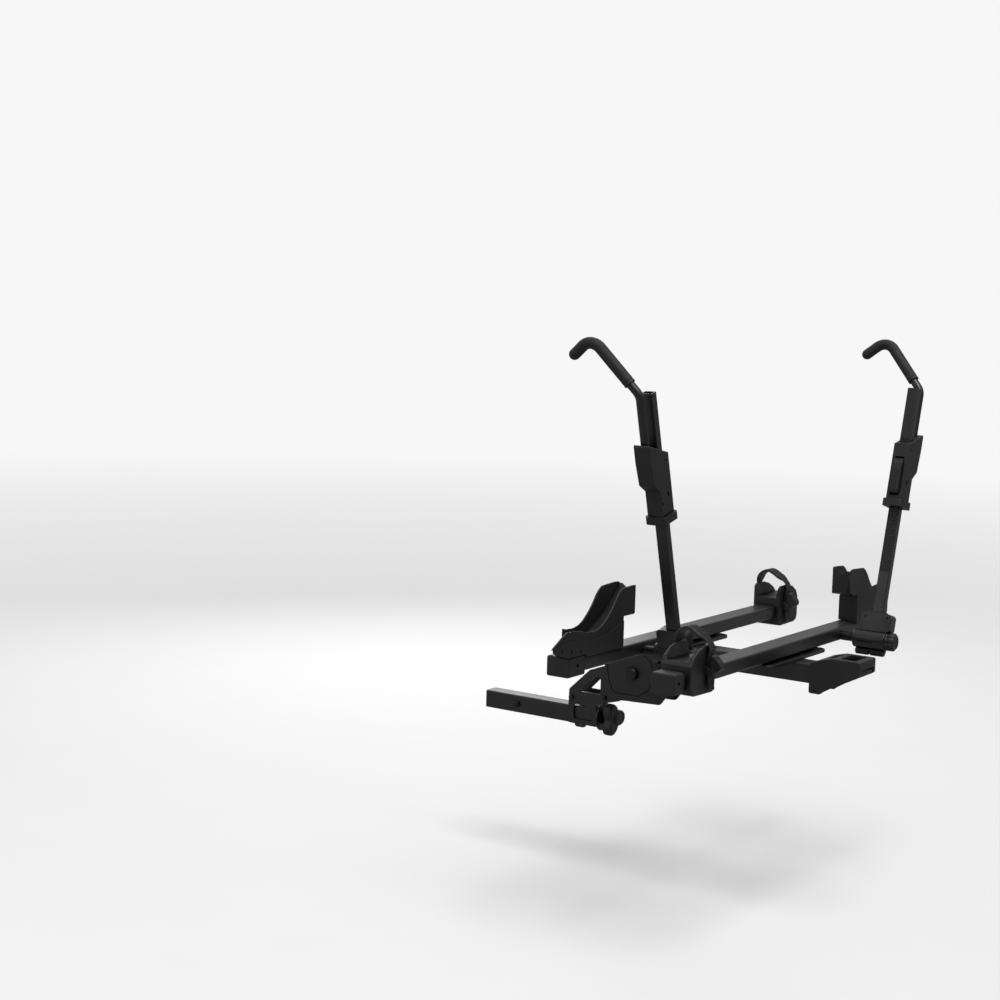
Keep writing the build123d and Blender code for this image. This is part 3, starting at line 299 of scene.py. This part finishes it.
def merged(skins):
    verts, faces = [], []
    for skin_verts, skin_faces in skins:
        faces += [tuple(k + len(verts) for k in face) for face in skin_faces]
        verts += skin_verts
    return verts, faces


def full_turn(count):
    return [2 * math.pi * j / count for j in range(count)]


def clamp01(value):
    return max(0.0, min(1.0, value))


def resample(points, step):
    """Points about one step apart along a polyline, and its length."""
    travelled = [0.0]
    for a, b in zip(points, points[1:]):
        travelled.append(travelled[-1] + (b - a).length)
    length = travelled[-1]
    count = max(2, int(round(length / step)))
    out, k = [], 0
    for i in range(count + 1):
        target = length * i / count
        while k < len(travelled) - 2 and travelled[k + 1] < target:
            k += 1
        part = (target - travelled[k]) / max(1e-9, travelled[k + 1] - travelled[k])
        out.append(points[k].lerp(points[k + 1], part))
    return out, length


def smooth_path(points, step):
    """Catmull-Rom curve through the points, resampled."""
    pts = [Vector(p) for p in points]
    pts = [pts[0] * 2 - pts[1]] + pts + [pts[-1] * 2 - pts[-2]]
    dense = []
    for p0, p1, p2, p3 in zip(pts, pts[1:], pts[2:], pts[3:]):
        for k in range(24):
            t = k / 24.0
            dense.append(0.5 * ((2 * p1) + (p2 - p0) * t + (2 * p0 - 5 * p1 + 4 * p2 - p3) * t * t
                                + (3 * p1 - p0 - 3 * p2 + p3) * t * t * t))
    dense.append(pts[-2])
    return resample(dense, step)


def fillet_path(points, radius, step):
    """Polyline with rounded corners, resampled."""
    pts = [Vector(p) for p in points]
    out = [pts[0]]
    for before, corner, after in zip(pts, pts[1:], pts[2:]):
        back, ahead = (before - corner).normalized(), (after - corner).normalized()
        half_angle = back.angle(ahead) / 2
        cut = radius / math.tan(half_angle)
        start, end = corner + back * cut, corner + ahead * cut
        centre = corner + (back + ahead).normalized() * (radius / math.sin(half_angle))
        for k in range(25):
            out.append((start.lerp(end, k / 24.0) - centre).normalized() * radius + centre)
    out.append(pts[-1])
    return resample(out, step)


def tangent(path, i):
    return (path[min(i + 1, len(path) - 1)] - path[max(i - 1, 0)]).normalized()


def steps_from_end(path, i):
    return min(i, len(path) - 1 - i)


def point_towards(start, aim, distance):
    dx, dy = aim[0] - start[0], aim[1] - start[1]
    span = math.hypot(dx, dy)
    return start[0] + dx / span * distance, start[1] + dy / span * distance


def place(x, y, z, inner):
    """Outer-tray millimetres to metres; the inner tray is mirrored in X, one pitch along +Y."""
    if inner:
        x, y = -x, y + TRAY_PITCH
    return Vector((x, y, z)) / 1000.0


def arm_place(across, y, along, inner):
    """A point measured across and along the leaning arm, and from the tray's centre line."""
    lean_cos, lean_sin = math.cos(ARM_LEAN), math.sin(ARM_LEAN)
    return place(ARM_X + across * lean_cos + along * lean_sin, TRAY_Y + y,
                 ARM_Z - across * lean_sin + along * lean_cos, inner)


# ---------------------------------------------------------------- scalloped end knob
KNOB_SEGMENTS = 300
SCALLOPS = 10
SCALLOP_DEPTH = 2.3
SCALLOP_HALF = 0.27     # half width, as a part of the scallop pitch
# distance from the tray line towards -Y, radius, share of the scallop depth
END_KNOB_LAYERS = [
    (161.0, 23.6, 0.4), (161.6, 24.6, 0.9), (163.0, 25.0, 1.0), (166.0, 24.9, 1.0),
    (166.6, 24.3, 1.0), (167.4, 24.3, 1.0), (168.0, 24.9, 1.0), (180.0, 24.9, 1.0),
    (182.0, 24.4, 0.9), (183.4, 23.0, 0.7), (184.2, 21.2, 0.35), (185.4, 20.2, 0.0),
    (186.5, 19.2, 0.0), (187.0, 17.8, 0.0), (186.8, 15.0, 0.0), (185.6, 13.6, 0.0),
    (185.4, 9.6, 0.0), (186.6, 8.8, 0.0), (186.8, 7.9, 0.0), (186.2, 7.2, 0.0),
    (171.0, 7.15, 0.0), (170.2, 7.1, 0.0)]


def add_end_knob(side, inner):
    """Knob on the barrel's end, dished round the lock."""
    rings = []
    for reach, radius, share in END_KNOB_LAYERS:
        ring = []
        for a in full_turn(KNOB_SEGMENTS):
            phase = (a * SCALLOPS / (2 * math.pi)) % 1.0
            off_centre = min(phase, 1 - phase) / SCALLOP_HALF
            r = radius - SCALLOP_DEPTH * share * max(0.0, 1 - off_centre ** 2) ** 0.7
            ring.append(place(ARM_X + r * math.cos(a), TRAY_Y - reach,
                              ARM_Z + r * math.sin(a), inner))
        rings.append(ring)
    obj = add_piece(side + "_scalloped_knob", loft(rings), "moulded_plastic")
    fit(obj, side + "_arm", replaced=side + "_end_knob")


# ---------------------------------------------------------------- release lever ribs
LEVER_RIBS = 9
LEVER_RIB_START, LEVER_RIB_PITCH = 412.0, 6.4   # along the arm
LEVER_FACE, LEVER_Y = -35.9, -126.0             # across the arm, from the tray line
LEVER_RIB_LENGTH = 22.0
LEVER_RIB_RISE, LEVER_RIB_HALF = 0.95, 1.5
LEVER_RIB_SINK = -0.3                           # how deep the back goes, as a part of the rise


def lever_rib(along, inner):
    rings = []
    for i in range(25):
        y = -LEVER_RIB_LENGTH / 2 + LEVER_RIB_LENGTH * i / 24
        swell = math.sqrt(max(0.0, 1 - (abs(y) / 11.2) ** 6))   # blunt rounding of the ends
        rings.append([
            arm_place(LEVER_FACE - LEVER_RIB_RISE * swell * max(LEVER_RIB_SINK, math.cos(a)),
                      LEVER_Y + y, along + LEVER_RIB_HALF * swell * math.sin(a), inner)
            for a in full_turn(10)])
    return loft(rings)


def add_lever_grip(side, inner):
    """Rounded finger ribs down the face of the release lever."""
    skin = merged(lever_rib(LEVER_RIB_START + LEVER_RIB_PITCH * k, inner)
                  for k in range(LEVER_RIBS))
    obj = add_piece(side + "_lever_grip", skin, "moulded_plastic")
    fit(obj, side + "_release")


# ---------------------------------------------------------------- hitch button spring
# x, y of the -X arm, from its free end towards the tip of the V
LEAF_ARM = [(-16.4, -9), (-16.4, 0), (-16.2, 9), (-12.6, 26), (-8.4, 46), (-3.6, 68), (-2.0, 76)]
LEAF_TIP = (0, 79)
LEAF_HALF_WIDTH = 6.0


def add_button_leaf():
    """V-shaped leaf by the retaining button, which squeezes it along X when pressed; here it
    stays fixed to the hitch base and does not bend.
    """
    outline = LEAF_ARM + [LEAF_TIP] + [(-x, y) for x, y in reversed(LEAF_ARM)]
    path, _ = smooth_path([(x, y, 0) for x, y in outline], 1.0)
    rings = []
    for i, centre in enumerate(path):
        along = tangent(path, i)
        taper = min(1.0, (steps_from_end(path, i) + 1.0) / 4.0)
        w = LEAF_HALF_WIDTH * (0.55 + 0.45 * math.sqrt(taper))
        # offset through the thickness, height
        profile = [(-0.5, -w), (0.5, -w), (0.6, -w + 0.4), (0.6, w - 0.4),
                   (0.5, w), (-0.5, w), (-0.6, w - 0.4), (-0.6, -w + 0.4)]
        rings.append([Vector((centre.x - along.y * off, centre.y + along.x * off, z)) / 1000.0
                      for off, z in profile])
    obj = add_piece("button_leaf_spring", loft(rings), "spring_steel", smooth=False)
    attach(obj, "hitch_base")
    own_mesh(obj)
    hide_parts("button_spring")


# ---------------------------------------------------------------- cup rim
# x, z along the top of the outer cup's walls
RIM = [
    (716, 330), (700, 339.5), (657, 362), (640, 363.6), (625, 363.4), (589, 359.4),
    (572, 355.6), (556, 352.6), (529, 351.6), (503, 356.6), (483, 366.6), (461, 383.6),
    (441, 403.6), (425, 423.6), (414, 434), (404, 440.6), (396, 443.6), (360, 446), (328, 447.4)]
RIM_Y = 30.7                            # each wall from the tray line
SHORT_WALL_MAX_X = 562                  # the -Y wall has a rim only below this
LONG_WALL_END = (344, 446.6)            # where the +Y wall's rim stops
BEAD_HALF_HEIGHT, BEAD_HALF_WIDTH = 1.5, 2.1


def rim_bead(wall_y, points, inner):
    path, _ = smooth_path([(x, 0, z) for x, z in points], 2.0)
    rings = []
    for i, centre in enumerate(path):
        along = tangent(path, i)
        normal = Vector((-along.z, 0, along.x))
        taper = min(1.0, (steps_from_end(path, i) + 0.3) / 2.0)
        ring = []
        for a in full_turn(10):
            q = centre + normal * (BEAD_HALF_HEIGHT * taper * math.cos(a))
            v = Vector((q.x, TRAY_Y + wall_y + BEAD_HALF_WIDTH * taper * math.sin(a), q.z))
            if inner:
                v = Vector((-v.x, TRAY_Y + TRAY_Y + TRAY_PITCH - v.y, v.z))
            ring.append(v / 1000.0)
        rings.append(ring)
    return loft(rings)


def add_cup_rim(side, inner):
    """Rolled bead on the cup's walls; the inner cup is the outer one turned half a turn."""
    short_wall = [p for p in RIM if p[0] < SHORT_WALL_MAX_X]
    long_wall = RIM[:-1] + [LONG_WALL_END]
    skin = merged([rim_bead(-RIM_Y, short_wall, inner), rim_bead(RIM_Y, long_wall, inner)])
    obj = add_piece(side + "_cup_rim", skin, "moulded_plastic")
    fit(obj, "platform")


# ---------------------------------------------------------------- ladder strap
# y from the tray line, z
STRAP_PATH = [
    (44.6, 300), (44.6, 350), (34, 381), (8, 393), (-20, 380), (-40, 366), (-50, 350),
    (-46.5, 325), (-46.5, 295), (-50, 268), (-54, 246)]
TOOTH_PITCH, TOOTH_FOOT, TOOTH_RISE = 5.0, 0.2, 1.6
PAD_START, PAD_END, PAD_FADE = 48.0, 172.0, 22.0    # along the strap
PAD_WIDENING = 5.5


def strap_profile(distance, length):
    """(across, outwards) points: saw teeth between two side rails, thicker at the pad."""
    phase = (distance % TOOTH_PITCH) / TOOTH_PITCH
    if phase < 0.15:
        rise = phase / 0.15
    elif phase < 0.5:
        rise = 1.0
    else:
        rise = max(0.0, 1 - (phase - 0.5) / 0.18)
    tooth = TOOTH_FOOT + TOOTH_RISE * rise
    pad = (clamp01((distance - PAD_START) / PAD_FADE)
           * clamp01((PAD_END - distance) / PAD_FADE))
    pad = pad * pad * (3 - 2 * pad)
    tip = clamp01((length - distance) / 4.0)
    w = STRAP_HALF_WIDTH * (0.8 + 0.2 * math.sqrt(tip)) + PAD_WIDENING * pad
    profile = [(-w, -1.3), (-w + 0.5, -1.8), (w - 0.5, -1.8), (w, -1.3),
               (w, 1.3), (w - 0.5, 1.75), (w - 2.6, 1.75), (w - 3.0, tooth),
               (-w + 3.0, tooth), (-w + 2.6, 1.75), (-w + 0.5, 1.75), (-w, 1.3)]
    return [(u, h * (1 + 0.9 * pad) - 1.4 * pad if h < 0 else h + 1.1 * pad) for u, h in profile]


def add_strap(side, inner):
    """Ribbed strap over the tyre."""
    path, length = smooth_path([(0, TRAY_Y + y, z) for y, z in STRAP_PATH], 0.8)
    rings = []
    for i, centre in enumerate(path):
        along = tangent(path, i)
        # out of the loop; the first sections are kept level
        out_y, out_z = (1, 0) if i < 3 else (along.z, -along.y)
        distance = i * length / (len(path) - 1)
        rings.append([
            place(STRAP_X + u, centre.y + out_y * h, centre.z + out_z * h, inner)
            for u, h in strap_profile(distance, length)])
    obj = add_piece(side + "_ladder_strap", loft(rings), "strap", smooth=False)
    fit(obj, side + "_cradle", replaced=side + "_rear_strap")


# ---------------------------------------------------------------- hook sleeve
# the hook's centre line: y from the tray line, distance along the arm
HOOK_ROOT, HOOK_BEND, HOOK_TIP = (-126.0, 704), (-6, 846), (45, 804)
HOOK_ACROSS = 41.0              # across the arm
HOOK_BEND_RADIUS = 36
SLEEVE_START = 36               # from the root
SLEEVE_OVERHANG = 4             # beyond the tip, before the dome
SLEEVE_BORE = 11.3              # radius inside the mouth
DOME_HEIGHT = 15.0
DOME_STEPS = 12


def sleeve_radius(d, length):
    if d < 7:           # lip at the mouth
        r = 15.0 - 0.9 * max(0.0, 1 - d / 0.9)
    elif d < 9.5:       # neck behind it
        r = 13.7 + 0.5 * abs(d - 8.2)
    else:               # tapering body
        r = 14.9 - 0.3 * min(1.0, d / length)
    mouth_grooves = (22.0, 26.0, 30.0)
    tip_grooves = (length - 26.0, length - 21.0, length - 16.0)
    for depth, grooves in ((0.75, mouth_grooves), (0.6, tip_grooves)):
        for groove in grooves:
            r -= depth * math.exp(-((d - groove) / 0.8) ** 2)
    return r


def add_sleeve(side, inner):
    """Rubber sleeve over the hook, grooved near its ends, with a domed tip."""
    start = point_towards(HOOK_ROOT, HOOK_BEND, SLEEVE_START)
    stop = point_towards(HOOK_TIP, HOOK_BEND, -SLEEVE_OVERHANG)
    path, length = fillet_path([start, HOOK_BEND, stop], HOOK_BEND_RADIUS, 1.0)
    first, last = tangent(path, 0), tangent(path, len(path) - 1)
    # centre, direction, radius
    stations = [(path[0] + first * 1.5, first, SLEEVE_BORE)]
    for i, centre in enumerate(path):
        radius = sleeve_radius(i * length / (len(path) - 1), length)
        stations.append((centre, tangent(path, i), radius))
    for k in range(1, DOME_STEPS + 1):
        a = k / DOME_STEPS * math.pi / 2
        stations.append((path[-1] + last * DOME_HEIGHT * math.sin(a), last,
                         sleeve_radius(length, length) * max(0.02, math.cos(a))))
    rings = []
    for centre, along, r in stations:
        normal = Vector((-along.y, along.x))
        ring = []
        for a in full_turn(40):
            q = centre + normal * r * math.cos(a)
            ring.append(arm_place(HOOK_ACROSS + r * math.sin(a), q.x, q.y, inner))
        rings.append(ring)
    obj = add_piece(side + "_rubber_sleeve", loft(rings), "hook_rubber")
    fit(obj, side + "_slider", replaced=side + "_hook_sleeve")


# ---------------------------------------------------------------- cam buckle
# outlines: y from the tray line, z
BUCKLE_BODY = [
    (-61.5, 291.5), (-60.5, 288.2), (-57, 286.6), (-53.6, 288.2), (-52.2, 291.5),
    (-51.6, 312), (-51.6, 329), (-54, 331.5), (-58, 332), (-63, 329.6), (-60, 300)]
BUCKLE_LEVER = [
    (-60, 289.2), (-58, 331.6), (-63, 329.4), (-68, 325), (-73, 320.2), (-78, 314.6),
    (-81, 309), (-81.6, 305), (-80.6, 300), (-78, 297.2), (-71, 293.4), (-62, 288.6)]
THUMB_RIB = [(-1.2, -0.2), (-0.2, 1.2), (0.8, 0.9), (0.4, -1.6)]    # round the rib's centre
BUCKLE_PIVOT = (-57, 291.5)
CHEEK_RADIUS, CHEEK_THICKNESS = 6.2, 3.0
PIN_RADIUS, PIN_OVERHANG = 2.5, 4.2


def pivot_circle(radius, step_degrees):
    y, z = BUCKLE_PIVOT
    return [(y + radius * math.cos(math.radians(t)), z + radius * math.sin(math.radians(t)))
            for t in range(0, 360, step_degrees)]


def add_prism(bm, outline, x_from, x_to, inner):
    near, far = ([bm.verts.new(place(x, TRAY_Y + y, z, inner)) for y, z in outline]
                 for x in (x_from, x_to))
    count = len(outline)
    bm.faces.new(near)
    bm.faces.new(list(reversed(far)))
    for i in range(count):
        k = (i + 1) % count
        bm.faces.new((near[i], far[i], far[k], near[k]))


def add_buckle(side, inner):
    """Body, lever, two cheeks round the pivot, five thumb ribs and the pivot pin."""
    name = side + "_cam_buckle"
    x0, x1 = STRAP_X - STRAP_HALF_WIDTH, STRAP_X + STRAP_HALF_WIDTH
    bm = bmesh.new()
    add_prism(bm, BUCKLE_BODY, x0, x1, inner)
    add_prism(bm, BUCKLE_LEVER, x0 + 1.2, x1 - 1.2, inner)
    cheek = pivot_circle(CHEEK_RADIUS, 24)
    add_prism(bm, cheek, x0, x0 + CHEEK_THICKNESS, inner)
    add_prism(bm, cheek, x1 - CHEEK_THICKNESS, x1, inner)
    for k in range(5):
        t = k / 4.0
        y, z = -65.5 - 12.5 * t, 328.4 - 14.0 * t
        rib = [(y + dy, z + dz) for dy, dz in THUMB_RIB]
        add_prism(bm, rib, x0 + 3.5, x1 - 3.5, inner)
    add_prism(bm, pivot_circle(PIN_RADIUS, 20), x0 - PIN_OVERHANG, x1 + PIN_OVERHANG, inner)
    bmesh.ops.recalc_face_normals(bm, faces=bm.faces)
    mesh = bpy.data.meshes.new(name)
    bm.to_mesh(mesh)
    bm.free()
    mesh.materials.append(MATERIALS["moulded_plastic"])
    obj = link_object(name, mesh)
    bevel = obj.modifiers.new("edges", "BEVEL")
    bevel.width = 0.0007
    bevel.segments = 2
    bevel.limit_method = "ANGLE"
    fit(obj, side + "_buckle", replaced=side + "_buckle")


# ---------------------------------------------------------------- hitch knob
HITCH_KNOB_Y = -295.2
HITCH_KNOB_SEGMENTS = 288
LOBES, FLUTES = 3, 96
WAIST_RADIUS, LOBE_RISE = 26.5, 22.0
# y from the knob's +Y face, growth of the outline, flute depth
GRIP_LAYERS = [
    (0.0, -3.0, 0.0), (-1.2, -1.0, 0.0), (-3.0, 0.0, 0.25), (-5.0, 0.3, 0.4), (-20.0, 0.3, 0.4),
    (-22.0, 0.0, 0.25), (-25.0, -2.2, 0.0), (-27.0, -5.5, 0.0), (-28.0, -9.0, 0.0),
    (-27.6, -12.0, 0.0)]
# y from the same face, radius
HUB_LAYERS = [(-26.4, 14.2), (-27.0, 13.6), (-30.5, 13.4), (-31.8, 12.2), (-31.9, 7.0)]


def grip_radius(a, growth, flute):
    lobe = 0.5 + 0.5 * math.cos(LOBES * a)
    return (WAIST_RADIUS + LOBE_RISE * lobe ** 0.85 + growth
            + flute * math.cos(FLUTES * a) * lobe)


def add_hitch_knob():
    """Three-lobed clamping knob: a domed, fluted grip and a raised hub."""
    angles = full_turn(HITCH_KNOB_SEGMENTS)
    layers = [(y, [grip_radius(a, growth, flute) for a in angles])
              for y, growth, flute in GRIP_LAYERS]
    layers += [(y, [radius] * HITCH_KNOB_SEGMENTS) for y, radius in HUB_LAYERS]
    rings = [[Vector((r * math.cos(a), HITCH_KNOB_Y + y, r * math.sin(a))) / 1000.0
              for r, a in zip(radii, angles)] for y, radii in layers]
    obj = add_piece("hitch_knob_grip", loft(rings), "moulded_plastic")
    fit(obj, "knob", replaced="hitch_knob")


SIDES = (("outer", False), ("inner", True))
for side, inner in SIDES:
    add_end_knob(side, inner)
    add_lever_grip(side, inner)
add_button_leaf()
for side, inner in SIDES:
    add_cup_rim(side, inner)
    add_strap(side, inner)
    add_sleeve(side, inner)
    add_buckle(side, inner)
add_hitch_knob()

# ---------------------------------------------------------------- stage, metres
FLOOR_Z = -0.43
FLOOR_HALF = 250.0
BACKDROP = 0.93     # brightness the camera sees in the distance


def floor_material():
    material, graph = new_material("floor_pale")
    position = graph.node("TexCoord").outputs["Object"]
    tone = graph.mix(graph.noise(position, scale=3.0, detail=4.0),
                     a=(0.71, 0.71, 0.71, 1), b=(0.735, 0.735, 0.735, 1))
    seen = graph.node("BsdfPrincipled", {
        "Base Color": tone, "Roughness": 0.8, "Specular IOR Level": 0.1})
    # other rays meet a darker floor, so that undersides stay dark
    dim = graph.node("BsdfDiffuse", {"Color": (0.26, 0.26, 0.265, 1)})
    far = graph.node("Emission", {"Color": (1, 1, 1, 1), "Strength": BACKDROP})
    distance = graph.node("VectorMath", {0: position}, operation="LENGTH").outputs["Value"]
    fade = graph.remap(distance, span=(2.6, 13.0))
    to_camera = graph.mix_shader(fade, seen.outputs[0], far.outputs[0])
    is_camera = graph.node("LightPath").outputs["Is Camera Ray"]
    surface = graph.mix_shader(is_camera, dim.outputs[0], to_camera)
    graph.node("OutputMaterial", {0: surface})
    return material


def add_floor():
    mesh = bpy.data.meshes.new("floor")
    bm = bmesh.new()
    bm.faces.new([bm.verts.new((x * FLOOR_HALF, y * FLOOR_HALF, FLOOR_Z))
                  for x, y in ((-1, -1), (1, -1), (1, 1), (-1, 1))])
    bm.to_mesh(mesh)
    bm.free()
    floor = link_object("floor", mesh)
    mesh.materials.append(floor_material())


def set_world():
    """An even backdrop for the camera; for other rays, brighter overhead and towards +X +Y."""
    world = bpy.data.worlds.new("studio")
    SCENE.world = world
    world.use_nodes = True
    graph = Graph(world.node_tree)
    direction = graph.node("TexCoord").outputs["Generated"]
    height = graph.node("SeparateXYZ", {0: direction}).outputs["Z"]
    overhead = graph.remap(height, span=(0.0, 0.9), to=(0.0, 0.34))
    behind = graph.remap(graph.dot(direction, (0.82, 0.57, 0.0)),
                         span=(-0.6, 0.9), to=(0.09, 0.30))
    sky = graph.calc("ADD", overhead, behind)
    is_camera = graph.node("LightPath").outputs["Is Camera Ray"]
    seen = graph.calc("MULTIPLY", is_camera, BACKDROP)
    unseen = graph.calc("MULTIPLY", sky, graph.calc("SUBTRACT", 1.0, is_camera))
    background = world.node_tree.nodes["Background"]
    graph.feed(background.inputs["Color"], (1.0, 1.0, 1.0, 1))
    graph.feed(background.inputs["Strength"], graph.calc("ADD", seen, unseen))


def aim(obj, direction):
    obj.rotation_euler = direction.to_track_quat("-Z", "Y").to_euler()


def add_area(name, location, target, size, power):
    light = bpy.data.lights.new(name, "AREA")
    light.shape = "RECTANGLE"
    light.size, light.size_y = size
    light.energy = power
    obj = link_object(name, light)
    obj.location = location
    aim(obj, Vector(target) - Vector(location))


def add_sun(name, direction, strength, spread):
    light = bpy.data.lights.new(name, "SUN")
    light.energy = strength
    light.angle = spread
    aim(link_object(name, light), Vector(direction))


def add_camera(name, location, yaw, pitch, roll, lens):
    """Camera aimed by its yaw from +X, its pitch above level and its roll, in radians."""
    camera = bpy.data.cameras.new(name)
    camera.sensor_width = 36.0
    camera.sensor_fit = "HORIZONTAL"
    camera.lens = lens
    camera.clip_start, camera.clip_end = 0.1, 100.0
    forward = Vector((math.cos(pitch) * math.cos(yaw), math.cos(pitch) * math.sin(yaw),
                      math.sin(pitch)))
    level_right = forward.cross(Vector((0, 0, 1))).normalized()
    level_up = level_right.cross(forward)
    right = math.cos(roll) * level_right + math.sin(roll) * level_up
    up = -math.sin(roll) * level_right + math.cos(roll) * level_up
    obj = bpy.data.objects.new(name, camera)
    rows = [(right[k], up[k], -forward[k], location[k]) for k in range(3)]
    obj.matrix_world = Matrix(rows + [(0, 0, 0, 1)])
    SCENE.collection.objects.link(obj)
    SCENE.camera = obj


add_floor()
set_world()
add_area("key_top", location=(-1.2, -2.2, 3.0), target=(0, -0.6, 0.3), size=(2.6, 1.6), power=34)
add_area("rim_back", location=(2.6, 2.4, 2.0), target=(0, -0.6, 0.4), size=(2.0, 1.6), power=46)
add_area("edge_left", location=(-3.4, 1.2, 1.2), target=(0, -0.6, 0.4), size=(0.5, 2.4), power=14)
add_sun("soft_sun", direction=(0.22, 0.30, -1.0), strength=1.75, spread=math.radians(28))
add_camera("photo_camera", location=(-4.3633288, -2.9711414, 1.1739830),
           yaw=0.6129808, pitch=-0.1105361, roll=0.0270971, lens=66.7872)
SCENE.view_settings.view_transform = "Standard"
